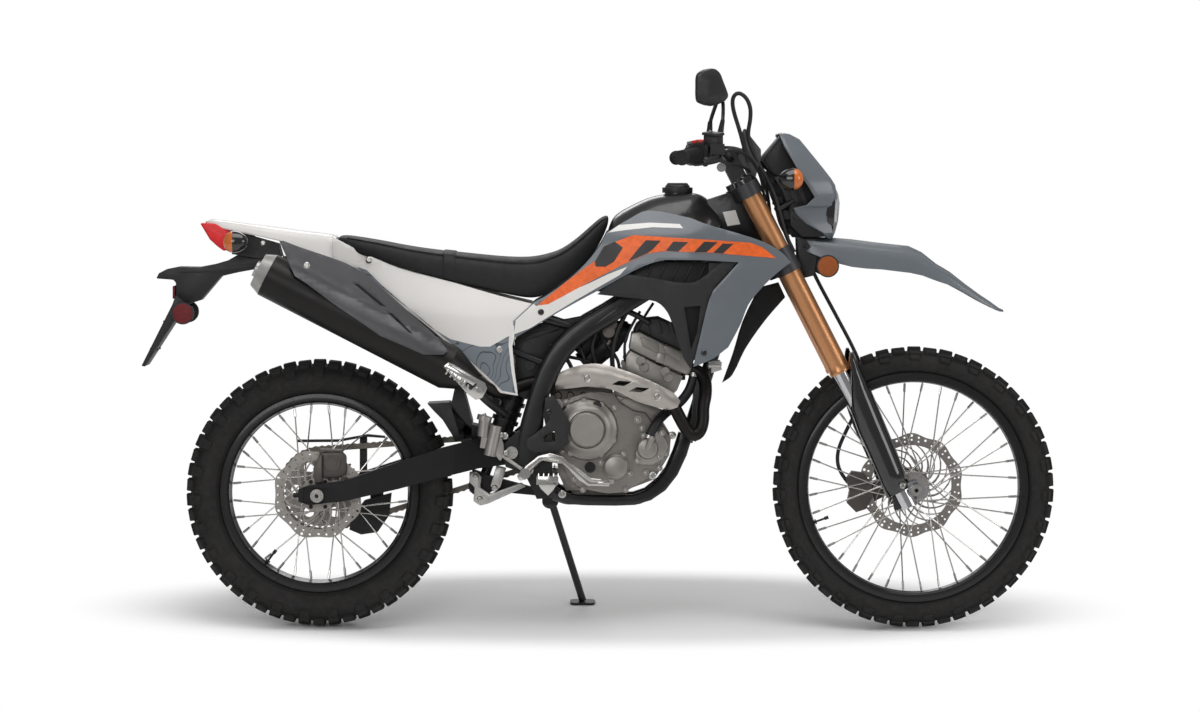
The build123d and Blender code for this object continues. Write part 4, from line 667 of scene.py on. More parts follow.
def tyre(end, centre, radius, half, rim_r):
    """A turned carcass with rows of blocks: middle and shoulder, and a side row at every other step."""
    crown = radius - LUG_H
    height = crown - rim_r
    ring = [(rim_r - 12, 0.42 * half), (rim_r, 0.45 * half), (rim_r + 4, 0.56 * half)]
    ring += [(rim_r + up * height, out * half) for up, out in
             ((0.12, 0.76), (0.3, 0.92), (0.5, 0.97), (0.7, 0.90), (0.88, 0.66))]
    ring += [(crown - 1, 0.3 * half), (crown, 0)]
    profile = ring + [(r, -y) for r, y in reversed(ring[:-1])]
    bm = turned(profile + [profile[0]], centre, steps=120)
    step = math.pi / LUG_PAIRS
    around = 2 * step * crown
    for i in range(2 * LUG_PAIRS):
        odd = i % 2
        for side in (1, -1):
            lug(bm, centre, step * i, side * (0.34 if odd else 0.17) * half, crown - (2.5 if odd else 1), side * 0.14,
                around * 0.43, (0.26 if odd else 0.28) * half, LUG_H)
            lug(bm, centre, step * i, side * (0.60 if odd else 0.70) * half,
                rim_r + (0.905 if odd else 0.85) * height, side * (0.6 if odd else 0.8), around * 0.37,
                0.30 * half, LUG_H - 1)
            if not odd:
                lug(bm, centre, step * i, side * 0.86 * half, rim_r + 0.70 * height, side * 1.1, around * 0.34,
                    0.34 * half, LUG_H - 4)
    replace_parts(to_object(f"{end}_tyre_tread", bm, "tyre_rubber", f"{end}_wheel", recalc=False), f"{end}_tyre")


for end, centre, radius, half, rim_r, _ in WHEELS:
    tyre(end, centre, radius, half, rim_r)


def laced(end, centre, hub, count, flange_r, flange_y, nipple_r):
    """A turned hub, with round spokes crossed to the rim and their nipples."""
    name, node, body = f"{end}_hub_turned", f"{end}_hub", f"{end}_wheel"
    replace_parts(to_object(name, turned(hub, centre, steps=48), "hub_silver", body), node)
    wires = bmesh.new()
    nipples = bmesh.new()
    for i in range(count):
        side = 1 if i % 2 == 0 else -1
        cross = 1 if (i // 2) % 2 == 0 else -1
        tip = 2 * math.pi * (i + 0.5) / count
        root = tip + cross * math.radians(62)
        a = centre + Vector((flange_r * math.cos(root), side * flange_y, flange_r * math.sin(root)))
        b = centre + Vector((nipple_r * math.cos(tip), side * 5, nipple_r * math.sin(tip)))
        way = (b - a).normalized()
        join(wires, rod(a - way * 4, b, 1.7, 8), rod(a, a + Vector((0, side * 4, 0)), 3.2, 8))
        join(nipples, rod(b - way * 20, b - way * 1, 3.0, 6), rod(b - way * 22, b - way * 20, 2.3, 8))
    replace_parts(to_object(name + "_spokes", wires, "spoke_steel", body), node)
    to_object(name + "_nipples", nipples, "spoke_steel", body)


# profiles of the hubs: radius and y
FRONT_HUB = [(10.1, -52), (16, -52), (17, -46), (20, -36), (30, -34), (37, -33), (38, -30), (36, -28), (25, -25),
             (22, -18), (21, 0), (22, 18), (25, 25), (36, 28), (38, 30), (37, 33), (30, 36), (30, 56), (20, 56),
             (20, 64), (10.1, 64), (10.1, -52)]
REAR_HUB = [(10.1, -86), (24, -86), (24, -74), (40, -74), (40, -48), (47, -40), (48, -35), (46, -32), (32, -28),
            (29, -18), (28, 0), (29, 18), (32, 28), (46, 32), (48, 35), (47, 40), (44, 46), (44, 73.5), (28, 73.5),
            (28, 86), (10.1, 86), (10.1, -86)]
laced("front", FRONT_AXLE, FRONT_HUB, 36, 35, 30, 254)
laced("rear", REAR_AXLE, REAR_HUB, 32, 45, 35, 213)


def rim(end, centre, half, rim_r, rim_in):
    """A rounded rim with lips."""
    w = 0.46 * half + 0.3
    seat = rim_r - 14
    section = [(rim_in, 5), (rim_in + 1.5, 8.5), (seat - 9, w - 1), (seat - 4, w + 3.2), (rim_r - 2, w + 4),
               (rim_r, w + 3), (rim_r, w + 1.2), (seat, w - 1)]
    ring = section + [(r, -y) for r, y in reversed(section)] + [section[0]]
    piece = to_object(f"{end}_rim_turned", turned(ring, centre, steps=120), "rim_black", f"{end}_wheel")
    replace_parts(piece, f"{end}_rim")


for end, centre, _, half, rim_r, rim_in in WHEELS:
    rim(end, centre, half, rim_r, rim_in)
for (end, centre, *_, rim_in), degrees in zip(WHEELS, (200, 233)):
    turn = math.radians(degrees)
    out = Vector((math.cos(turn), 0, math.sin(turn)))
    stem = bmesh.new()
    for low, high, radius, steps in ((-30, 2, 2.6, 12), (-36, -26, 4.2, 12), (-5, -1, 6.0, 6)):
        join(stem, rod(centre + out * (rim_in + low), centre + out * (rim_in + high), radius, steps))
    to_object(f"{end}_valve", stem, "black_plastic", f"{end}_wheel")


def plate(outline, holes, y0, y1):
    """A flat plate with holes through it, from y0 to y1."""
    bm = bmesh.new()
    edges = []
    for line in [outline] + holes:
        verts = [bm.verts.new((x, y0, z)) for x, z in line]
        edges += [bm.edges.new((verts[i - 1], verts[i])) for i in range(len(verts))]
    bmesh.ops.triangle_fill(bm, use_beauty=True, use_dissolve=False, edges=edges)
    return extruded(bm, (0, y1 - y0, 0))


def around_axle(centre, polar):
    """Points at (radius, angle) about an axle, as (x, z)."""
    return [(centre.x + r * math.cos(a), centre.z + r * math.sin(a)) for r, a in polar]


def circle(x, z, radius, steps):
    """A round outline in the upright plane."""
    turns = [2 * math.pi * i / steps for i in range(steps)]
    return [(x + radius * math.cos(a), z + radius * math.sin(a)) for a in turns]


# of each hole in one wave: its place in the wave, how far inside the edge, and its radius
DISC_HOLES = ((0.5, 6.5, 3.4), (0.26, 10.5, 2.6), (0.74, 10.5, 2.6), (0.02, 14, 3.0), (0.5, 17, 2.6),
              (0.25, 20.5, 2.2), (0.75, 20.5, 2.2))
WAVE_STEPS = 10
DISC_WALL = 4.0


def brake_disc(end, centre, y0, radius, ring_in, boss_r, bore, waves, arms, sweep):
    """A wave-edged ring with rows of holes, on thin swept arms."""
    name, body = f"{end}_disc_plate", f"{end}_wheel"
    outline = around_axle(centre, [(radius - 3.5 - 3.5 * math.cos(2 * math.pi * i / WAVE_STEPS),
                                    2 * math.pi * i / (waves * WAVE_STEPS)) for i in range(waves * WAVE_STEPS)])
    holes = [circle(centre.x, centre.z, ring_in, 96)]
    for i in range(waves):
        for share, inside, size in DISC_HOLES:
            r, a = radius - inside, 2 * math.pi * (i + share) / waves
            if r - size > ring_in + 2:
                holes.append(circle(*around_axle(centre, [(r, a)])[0], size, 10))
    bm = plate(outline, holes, y0, y0 + DISC_WALL)
    for i in range(arms):
        band = [(boss_r - 3 + (ring_in + 6 - boss_r) * share, 2 * math.pi * i / arms + sweep * share ** 1.3)
                for share in (k / 6 for k in range(7))]
        half = 2.4 if i % 2 else 3.2
        left = around_axle(centre, [(r, a + half / r) for r, a in band])
        right = around_axle(centre, [(r, a - half / r) for r, a in band])
        join(bm, prism(left + right[::-1], y0 + 0.6, y0 + 3.4))
    boss = circle(centre.x, centre.z, boss_r, 64)
    join(bm, plate(boss, [circle(centre.x, centre.z, bore, 40)], y0 + 0.3, y0 + 3.7))
    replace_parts(to_object(name, bm, "disc_steel", body), f"{end}_disc")
    side = 1 if y0 > 0 else -1
    face = y0 + DISC_WALL if side > 0 else y0
    heads = [screw((x, face, z), (0, side, 0), 5.0) for x, z in circle(centre.x, centre.z, boss_r - 7, 6)]
    to_object(name + "_bolts", join(bmesh.new(), *heads), "black_plastic", body)


brake_disc("front", FRONT_AXLE, 56.0, 128.0, 98.0, 44.0, 20.6, 10, 20, 0.85)
brake_disc("rear", REAR_AXLE, -78.0, 110.0, 84.0, 42.0, 24.6, 8, 16, -0.7)


# ---- seat and tank ----
def rings_of(rows, section):
    """Closed rings across the machine: a row is x and what its section needs."""
    return [[(row[0], y, z) for y, z in mirrored(section(*row[1:]))] for row in rows]


# x, top, lower edge and half width
SEAT = [(44, 943, 936, 50), (52, 950, 929, 66), (70, 950, 917, 80), (100, 946, 905, 92), (158, 936.6, 889, 104),
        (219, 924, 869, 110), (292, 914.5, 850, 114), (330, 911, 841, 114), (365, 907.5, 833, 113),
        (438, 900, 815, 109), (499, 897.5, 802, 101), (535, 902, 802, 96), (564, 910, 821, 91), (584, 917, 836, 88),
        (608, 932, 854, 84), (632, 951, 873, 78), (657, 974, 898, 70), (681, 995, 936, 60), (693, 1000, 962, 52),
        (701, 999, 985, 44)]
TANK = [(654, 882, 850, 92), (668, 898, 838, 100), (682, 922, 838, 104), (696, 952, 838, 106), (706, 990, 838, 108),
        (722, 1008, 838, 109), (750, 1023, 843, 109), (795, 1046, 868, 108), (838, 1055, 892, 106),
        (890, 1059, 920, 103), (918, 1056, 936, 78), (938, 1046, 947, 60), (954, 1028, 956, 54),
        (968, 1008, 963, 52), (978, 988, 968, 49)]
# x and how far the strap stands off the seat
STRAP = ((302, 0.4), (305, 2.2), (329, 2.2), (332, 0.4))


def seat_section(top, low, w):
    """Half a section of the seat: crowned, with its sides drawn in below."""
    deep = top - low
    return [(0, top + 2), (0.40 * w, top + 1), (0.70 * w, top - 2), (0.88 * w, top - 0.10 * deep),
            (0.97 * w, top - 0.26 * deep), (w, top - 0.46 * deep), (0.985 * w, top - 0.7 * deep),
            (0.96 * w, low + 0.12 * deep), (0.93 * w, low + 0.02 * deep), (0.86 * w, low), (0, low)]


def tank_section(top, low, w):
    """Half a section of the tank, widest under its shoulder."""
    deep = top - low
    return [(0, top), (0.30 * w, top - 1), (0.52 * w, top - 0.06 * deep), (0.76 * w, top - 0.20 * deep),
            (0.92 * w, top - 0.40 * deep), (w, top - 0.62 * deep), (w, low + 4), (0.9 * w, low), (0, low)]


def seat():
    """A padded seat: a crowned pad with a sewn line along each shoulder and a strap across it."""
    pad = to_object("seat_pad", hull(rings_of(SEAT, seat_section)), "seat_vinyl", angle=180)
    subdivide(pad)
    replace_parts(pad, "seat")
    seam = bmesh.new()
    strap = bmesh.new()
    for side in (-1, 1):
        line = [(x, side * (0.90 * w + 0.6), top - 0.10 * (top - low) - 0.6) for x, top, low, w in SEAT[2:-1]]
        join(seam, tube(line, 1.5, 8))
        loops = []
        for x, off in STRAP:
            top, low, w = (eased([(row[0], row[k]) for row in SEAT], x) for k in (1, 2, 3))
            section = seat_section(top, low, w)[:-2]
            loops.append([(x, side * (y * (w + off) / w), z + off) for y, z in section] +
                         [(x, side * (y * 0.95), z - 2) for y, z in reversed(section)])
        join(strap, hull(loops))
    to_object("seat_seams", seam, "seat_vinyl")
    to_object("seat_strap", strap, "seat_vinyl")


def tank():
    """The tank's shell, smoothed over its sections."""
    shell = to_object("fuel_tank_shell", hull(rings_of(TANK, tank_section)), "tank_black", angle=180)
    subdivide(shell)
    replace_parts(shell, "fuel_tank")


seat()
tank()

# ---- frame spars and cradle ----
# x, y, z, half depth in the side view and half thickness
SPAR = [(905, 42, 893, 19, 12), (860, 64, 862, 21, 13), (800, 80, 826, 23, 14), (740, 90, 790, 24, 14.5),
        (700, 93, 764, 25, 15), (653, 95, 736, 26, 15), (618, 97, 710, 26, 15), (592, 97, 684, 26, 15),
        (572, 97, 655, 26, 15), (555, 97, 622, 25, 15), (541, 97, 588, 24, 15), (528, 97, 548, 24, 15),
        (518, 97, 505, 26, 15), (512, 97, 465, 30, 15), (510, 97, 430, 34, 14), (512, 97, 395, 36, 13.5)]
CRADLE = [(552, 92, 352, 17, 12), (575, 82, 330, 14, 12), (604, 68, 316, 13, 12), (650, 58, 312, 12.5, 12),
          (720, 54, 311, 12.5, 12), (765, 50, 313, 13, 12), (800, 44, 324, 14, 12), (830, 34, 346, 16, 12),
          (856, 22, 380, 17, 12), (876, 12, 425, 18, 12), (890, 6, 470, 18, 12)]
# a rounded box's section, as shares of the half depth and half thickness
BOX_HALF = [(1, 0.45), (0.86, 0.86), (0.55, 1), (0, 1.04), (-0.55, 1), (-0.86, 0.86), (-1, 0.45)]
BOX_SECTION = BOX_HALF + [(u, -v) for u, v in reversed(BOX_HALF)]


def flat_tube(path, side):
    """A bar of rounded-box section along a path in the side view."""
    rings = []
    for i, (x, y, z, deep, thick) in enumerate(path):
        x0, _, z0 = path[max(i - 1, 0)][:3]
        x1, _, z1 = path[min(i + 1, len(path) - 1)][:3]
        way = Vector((x1 - x0, 0, z1 - z0)).normalized()
        normal = Vector((-way.z, 0, way.x))
        rings.append([Vector((x, side * y, z)) + normal * (u * deep) + Vector((0, side * v * thick, 0))
                      for u, v in BOX_SECTION])
    return hull(rings)


for side, label in SIDES:
    for name, path in (("frame_spar", SPAR), ("frame_cradle", CRADLE)):
        to_object(f"{name}_{label}", flat_tube(path, side), "frame_black", angle=50)
    bolts(f"frame_bolts_{label}", [((x, side * y, z), (0, side, 0)) for x, y, z in
                                   ((590, 104, 330), (452, 112, 470), (467, 112, 430))], radius=8.5)

# ---- engine ----
CLUTCH = (650, 485.5)
CLUTCH_COVER = [(75, 66), (75, 86), (74, 92), (72, 95), (66, 97.5), (60, 103), (54, 108), (49, 110.5), (46, 111),
                (45, 109), (43, 106.5), (41.5, 107), (40.5, 111.5), (39, 112.5)]
OIL_COVER = [(32, 66), (32, 84), (30.5, 88), (29, 89), (28.5, 93), (27, 96.5), (24, 98)]
SIDE_CASE = [(600, 547), (612, 563), (658, 576), (717, 570), (729, 551), (763, 530), (792, 526), (805, 505),
             (838, 490), (853, 463), (851, 433), (838, 408), (830, 396), (805, 371), (767, 348), (742, 333),
             (700, 329), (658, 337), (625, 348), (600, 375), (583, 421), (581, 480), (587, 521)]
SIDE_TOP = [(729, 551), (742, 563), (792, 547), (842, 530), (834, 505), (805, 496), (784, 526), (759, 530)]
PUMP = [(784, 467), (801, 475), (822, 480), (838, 467), (847, 450), (842, 429), (830, 412), (809, 400), (784, 400),
        (769, 408), (767, 429), (775, 446)]
HEEL_GUARD = [(549, 563), (570, 570), (587, 542), (608, 505), (604, 463), (610, 456), (583, 436), (524, 430),
              (505, 442), (505, 463), (524, 475), (549, 496), (562, 513), (549, 538)]
HEEL_HOLE = [(545, 471), (572, 483), (574, 458), (549, 456)]
# x, distance out, z and radius of each boss round the cases
BOSSES = [(685, 86, 404, 7.8), (739, 86, 426, 7.8), (755, 86, 377, 7.8), (773, 84, 509, 9.8), (788, 96, 471, 7.8),
          (773, 96, 410, 7.8), (793, 84, 380, 8.3), (826, 96, 419, 7.8), (841, 84, 427, 7.8), (832, 96, 477, 7.8),
          (826, 84, 392, 7.8), (744, 84, 339, 7.8), (641, 84, 339, 7.8), (815, 96, 477, 7.8), (784, 84, 488, 7.8),
          (620, 86, 364, 7.5), (600, 86, 551, 7.5), (717, 86, 538, 7.5), (591, 86, 433, 7.5)]


def engine_right():
    """Covers, bosses and bolts on the right of the cases."""
    x, z = CLUTCH
    cover = turned_at(x, z, CLUTCH_COVER, 72)
    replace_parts(to_object("clutch_cover", cover, "engine_bright", angle=26), "engine_covers")
    bosses = bmesh.new()
    for degrees in (60, 96, 128, 156, 196, 236, 300, 338):
        a = math.radians(degrees)
        join(bosses, stub(x + 70 * math.cos(a), z + 70 * math.sin(a), -88, -97, 8.0, 24, 6.5))
    to_object("clutch_cover_bosses", bosses, "engine_bright")
    to_object("oil_filter_cover", turned_at(720.5, 394, OIL_COVER, 56), "engine_bright")
    to_object("engine_side_case", prism(SIDE_CASE, -80, -66, 3.0), "engine_grey")
    to_object("engine_side_top", prism(SIDE_TOP, -74, -60, 3.0), "engine_grey")
    pump = join(prism(PUMP, -95, -78, 4.0), turned_at(797, 440, [(26, 90), (26, 99), (23, 104), (18, 106)]),
                tube([(797, -98, 440), (801, -101, 455), (808, -101, 468)], 10, 20))
    to_object("water_pump", pump, "engine_bright")
    to_object("engine_bosses", join(bmesh.new(), *[stub(x, z, -62, -y, r, 20) for x, y, z, r in BOSSES]),
              "engine_bright")
    bolts_right("engine_bolts", [(x, -y, z) for x, y, z, r in BOSSES], "axle_steel", 4.6)
    bolts_right("engine_mount_bolts", [(857, -74, 471), (809, -88, 374), (591, -110, 330)], "axle_steel", 9.5)
    window = join(turned_at(658, 393, [(13, 66), (13, 84), (11, 86), (9, 86), (8.5, 83)]),
                  stub(658, 393, -84, -88, 6, 3))
    to_object("oil_window", window, "black_plastic")
    to_object("oil_filler", turned_at(674, 542, [(13, 64), (13, 92), (12, 98), (9, 100)], 12), "black_plastic")
    to_object("starter_housing", stub(578, 545, -40, -92, 15, 28), "engine_bright")
    guard = sheet(HEEL_GUARD, lambda x, z: 122.0, 4.0, holes=(HEEL_HOLE,))
    to_object("heel_guard", guard, "black_plastic")
    bolts_right("heel_guard_bolt", [(558, -122, 530)], "black_gloss", 7)


# ---- exhaust shield ----
# along x: how far out its middle line stands, and that line's height
SHIELD_OUT = [(566, 102), (600, 112), (640, 124), (690, 134), (780, 142), (830, 142), (870, 134)]
SHIELD_MID = [(566, 606), (600, 619), (650, 627), (700, 621), (760, 603), (820, 580), (870, 551)]
SHIELD = [(573, 593), (583, 624), (616, 637), (658, 646), (692, 644), (742, 630), (784, 614), (830, 593),
          (859, 576), (875, 557), (868, 542), (847, 536), (809, 544), (767, 557), (734, 574), (700, 586), (658, 591),
          (616, 586), (576, 582)]
SHIELD_SLOTS = ([(708, 596), (727, 606), (759, 604), (739, 593)], [(750, 580), (770, 591), (801, 588), (780, 578)])


def shield_y(x, z):
    """The shield wraps the pipe: furthest out along its own middle line."""
    drop = (z - eased(SHIELD_MID, x)) / 25.0
    return eased(SHIELD_OUT, x) - 9.0 * min(1.6, drop * drop)


def exhaust_shield():
    """The slotted shield along the pipe, with its washers and screws."""
    outline = curve_through(SHIELD, (0, 1, 9, 10, 18))
    piece = to_object("exhaust_shield", sheet(outline, shield_y, 2.0, cell=9.0, holes=SHIELD_SLOTS), "shield_steel")
    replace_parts(piece, "heat_shield")
    seats = [(x, shield_y(x, z), z) for x, z in ((651, 613), (819, 570))]
    washers = [turned_at(x, z, [(13.5, y - 3), (13.5, y + 0.6), (12, y + 1.6), (10, y + 0.6), (9, y + 0.2)], 32)
               for x, y, z in seats]
    to_object("shield_washers", join(bmesh.new(), *washers), "shield_steel")
    bolts_right("shield_bolts", [(x, -y - 0.2, z) for x, y, z in seats], radius=6.5)


# ---- head, cylinder and intake ----
HEAD_LOWER = [(744, 660), (755, 676), (786, 660), (830, 637), (882, 614), (868, 580), (851, 563), (801, 588),
              (755, 614), (742, 630)]
HEAD_UPPER = [(757, 718), (778, 720), (826, 695), (878, 672), (901, 635), (889, 618), (834, 641), (784, 664),
              (752, 681)]
HEAD_PAD = [(815, 648), (821, 671), (840, 667), (834, 644)]
HEAD_COVER = [(750, 678), (758, 720), (777, 722), (826, 697), (881, 673), (905, 635), (894, 614), (834, 639),
              (784, 660)]
TOP_COVER = [(760, 720), (769, 739), (784, 752), (822, 756), (859, 739), (889, 702), (905, 660), (904, 639),
             (882, 672), (826, 696), (778, 721)]
HEAD_PANELS = ([(778, 708), (788, 709), (822, 693), (824, 672), (817, 670), (784, 686)],
               [(834, 688), (842, 688), (874, 673), (878, 655), (872, 653), (840, 668)])
TRACT = [(633, 660), (654, 718), (700, 743), (742, 735), (744, 702), (725, 672), (700, 660), (667, 647)]
# radius and way of each hose
HOSES = ((11.5, ((800, -100, 468), (808, -99, 486), (822, -90, 508), (846, -72, 530), (880, -52, 552),
                 (905, -46, 590), (910, -44, 622))),
         (4.0, ((690, -58, 700), (716, -62, 668), (730, -60, 640), (728, -50, 600))),
         (3.4, ((778, -50, 770), (752, -62, 728), (738, -66, 690), (742, -60, 650))),
         (3.4, ((810, -46, 790), (776, -58, 740), (762, -60, 700), (766, -55, 660))),
         (4.2, ((600, -60, 660), (640, -66, 655), (668, -62, 640), (690, -50, 600))),
         (5.0, ((700, -70, 770), (676, -74, 730), (660, -74, 690), (668, -66, 640), (690, -60, 610))),
         (6.0, ((752, -66, 782), (730, -72, 742), (716, -74, 700), (708, -70, 650), (716, -60, 610))),
         (5.0, ((560, -70, 690), (590, -72, 668), (612, -72, 640), (624, -66, 600))),
         (3.6, ((620, -64, 700), (640, -70, 672), (646, -70, 636), (640, -60, 600))),
         (7.0, ((736, -60, 775), (776, -62, 760), (800, -62, 742))))


def head_and_cylinder():
    """Cast faces with their bosses beside the head, its covers, and what feeds it."""
    for side, label in SIDES:
        face = join(prism(HEAD_LOWER, side * 58, side * 72, 3.0), prism(HEAD_UPPER, side * 56, side * 68, 3.0))
        for x, z in ((781, 650), (788, 636), (839, 625), (846, 611)):
            join(face, stub(x, z, side * 66, side * 80, 13, 24, 11))
        join(face, prism(HEAD_PAD, side * 66, side * 71, 1.5))
        to_object(f"head_side_{label}", face, "engine_bright")
    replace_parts(to_object("head_cover", prism(HEAD_COVER, -62, 62, 5.0, 3), "engine_bright"), "cylinder_head")
    top = prism(TOP_COVER, -54, 54, 6.0, 3)
    for x in (788, 817, 846):
        join(top, prism([(x, 745), (x + 8, 745), (x + 17, 716), (x + 9, 716)], -57, -53, 1.0))
    to_object("head_top_cover", top, "black_plastic")
    to_object("head_panels", join(*[prism(panel, -72, -67, 1.5) for panel in HEAD_PANELS]), "engine_grey")
    fins = bmesh.new()
    for i in range(5):
        x, z = 720 + 2 * i, 560 + 9 * i
        join(fins, prism([(x, z - 8), (x + 2, z - 4), (x + 96, z - 38), (x + 94, z - 42)], -68, 68, 0.8))
    to_object("cylinder_ribs", fins, "engine_bright")
    tract = join(prism(TRACT, -26, 26, 6.0), rod((628, -30, 668), (668, -30, 716), 22, 28),
                 rod((640, 0, 640), (700, 0, 690), 30, 28))
    to_object("intake_tract", tract, "black_plastic")
    hoses = [tube(way, radius, 16) for radius, way in HOSES]
    to_object("engine_hoses", join(bmesh.new(), *hoses), "black_plastic")
    clamps = join(bmesh.new(), rod((799.5, -100.4, 465), (802, -100, 472), 12.8, 24),
                  rod((909, -44.5, 612), (910, -44, 622), 13, 24))
    to_object("hose_clamps", clamps, "axle_steel")
    throttle = join(rod((690, -52, 724), (722, -52, 742), 20, 28), stub(702, 722, -64, -74, 15, 24),
                    stub(702, 722, -74, -78, 10, 24), rod((706, -60, 700), (700, -60, 690), 6, 12))
    to_object("throttle_body", throttle, "engine_dark")


# ---- pedal, pegs and rear brake ----
PEDAL = [(482, 375), (503, 400), (532, 424), (562, 431), (591, 423), (614, 403), (637, 377), (658, 365), (705, 365),
         (705, 351), (654, 352), (631, 366), (606, 392), (582, 413), (561, 418), (537, 410), (517, 389), (503, 366),
         (488, 364)]
RIDER_PEG = [(533, 378), (582, 378), (581, 362), (570, 345), (558, 332), (541, 348), (534, 360)]
MASTER = [(389, 507), (396, 514), (414, 516), (418, 500), (436, 494), (450, 452), (452, 424), (442, 410), (430, 424),
          (414, 440), (392, 442), (396, 470)]


def peg_inset(x, z):
    """A point of the peg's outline drawn in toward its middle, as the inside of its wall."""
    return (x * 0.94 + 558 * 0.06, z * 0.94 + 364 * 0.06)


def pedal_and_pegs():
    """The brake pedal and the rider's pegs."""
    arm = join(prism(PEDAL, -136, -124, 2.5, 3), stub(502, 381, -112, -138, 13, 32),
               prism([(676, 364), (676, 358), (706, 358), (706, 364)], -152, -124, 1.5))
    join(arm, *[stub(680 + 5.5 * i, 364.6, -150, -126, 1.6, 6) for i in range(5)])
    to_object("brake_pedal_arm", arm, "polished")
    for side, label in SIDES:
        peg = join(prism(RIDER_PEG, side * 127, side * 133, 1.0), prism(RIDER_PEG, side * 179, side * 185, 1.0))
        for a, b in zip(RIDER_PEG, RIDER_PEG[1:]):
            join(peg, prism([a, b, peg_inset(*b), peg_inset(*a)], side * 128, side * 184))
        for i in range(7):
            y = side * (131 + 8.2 * i)
            join(peg, *[rod((x, y, 377), (x, y, 382), 2.4, 6, 1.2) for x in (534, 546, 558, 570, 581)])
        to_object(f"foot_peg_{label}", peg, "polished")


def rear_brake():
    """The master cylinder with its reservoir and rod, and the caliper."""
    master = prism(MASTER, -131, -118, 3.0)
    for start, end, radius, steps in (
            ((416, -131, 424), (432, -131, 496), 15, 28), ((400, -128, 470), (404, -128, 512), 14, 28),
            ((402, -128, 508), (405, -128, 520), 18, 28), ((404, -126, 514), (400, -126, 524), 7, 20),
            ((446, -126, 424), (494, -130, 392), 4.5, 12)):
        join(master, rod(start, end, radius, steps))
    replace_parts(to_object("rear_master", master, "hub_silver"), "rear_brake")
    bolts_right("rear_master_bolts", [(444, -132, 474), (456, -132, 431)], radius=6.5)
    caliper = join(
        prism([(2, 372), (2, 420), (14, 436), (56, 434), (70, 420), (70, 376), (50, 366), (16, 366)], -98, -84, 4.0),
        prism([(6, 372), (6, 418), (16, 430), (54, 428), (66, 416), (66, 378), (48, 370)], -70, -56, 4.0),
        prism([(4, 436), (60, 434), (60, 424), (4, 424)], -98, -56, 2.0),
        stub(36, 404, -98, -106, 19, 32), stub(36, 404, -106, -109, 12, 32),
        prism([(-6, 352), (-10, 390), (6, 424), (12, 424), (12, 356)], -112, -98, 3.0))
    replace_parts(to_object("rear_caliper", caliper, "caliper_dark"), "rear_brake")


engine_right()
exhaust_shield()
head_and_cylinder()
pedal_and_pegs()
rear_brake()

# ---- steering head gussets with their blank plate ----
GUSSET = [(938, 1040), (1012, 1064), (1052, 1060), (1064, 1000), (1069, 943), (1010, 920), (977, 943), (950, 985)]
for side, label in SIDES:
    to_object(f"head_gusset_{label}", prism(GUSSET, side * 33, side * 37, 1.2), "frame_black")
to_object("blank_plate", prism([(977, 1011), (1008, 1016), (1020, 982), (989, 977)], -37.8, -36.8), "panel_white")

# ---- rear linkage, radiator's foot and crankcase top ----
LINK = [(365, 379), (386, 377), (395, 366), (392, 341), (415, 325), (491, 353), (503, 343), (411, 301), (391, 296),
        (375, 307), (377, 341), (365, 353)]
LINK_UPPER = [(431, 395), (455, 389), (441, 343), (429, 332), (416, 345)]
RADIATOR_FOOT = [(905, 628), (948, 628), (944, 560), (930, 470), (912, 452), (902, 480), (908, 560)]
CRANK_TOP = [(560, 592), (712, 584), (716, 513), (640, 520), (562, 548)]
to_object("linkage_arms", join(prism(LINK, -40, -28, 3.0), prism(LINK_UPPER, -52, -38, 2.5)), "cap_silver")
bolts_right("linkage_bolts", [(380, -40, 366), (427, -52, 340), (391, -40, 312)], "axle_steel", 7.5)
to_object("radiator_lower", prism(RADIATOR_FOOT, -52, 52, 4.0), "black_plastic")
spigot = join(rod((944, -70, 642), (975, -70, 640), 9, 20),
              prism([(950, 622), (950, 652), (972, 654), (976, 630)], -78, -62, 2.0))
to_object("radiator_spigot", spigot, "cap_silver")
crank_top = join(prism(CRANK_TOP, -46, 46, 4.0), *[stub(x, 566, -46, -56, 9, 20, 7) for x in (580, 610, 640, 670)])
to_object("crankcase_top", crank_top, "engine_dark")


# ---- mask, lamp and front fender ----
def steered(name, bm, slot, angle=32.0):
    """A piece that rides with the steering."""
    return to_object(name, bm, slot, "steering", angle)


# height, front, back and half width of the mask
MASK = [(947, 1244, 1232, 56), (962, 1250, 1218, 70), (985, 1256, 1176, 78), (1006, 1258, 1154, 83),
        (1022, 1258.5, 1146, 85), (1028, 1258, 1178, 86), (1048, 1256, 1198, 87), (1077, 1250, 1180, 92),
        (1092, 1241, 1170, 93), (1120, 1219, 1153, 92), (1142, 1201, 1141, 88), (1170, 1178, 1124, 80),
        (1188, 1163, 1117, 70), (1200, 1140, 1113, 58), (1203, 1127, 1112, 50)]
# share of the half width, and share of the way from front to back there
MASK_SHARE = [(0.0, 0.0), (0.42, 0.01), (0.62, 0.08), (0.72, 0.16), (0.96, 0.80), (0.99, 0.90), (1.0, 1.0)]
# height, front and half width of the lamp's glass
GLASS = ((958, 1250, 40), (966, 1253, 48), (990, 1259, 58), (1010, 1261, 61), (1034, 1262.5, 60),
         (1055, 1259, 55), (1066, 1254, 48), (1072, 1249, 38))
GLASS_DEEP = 34
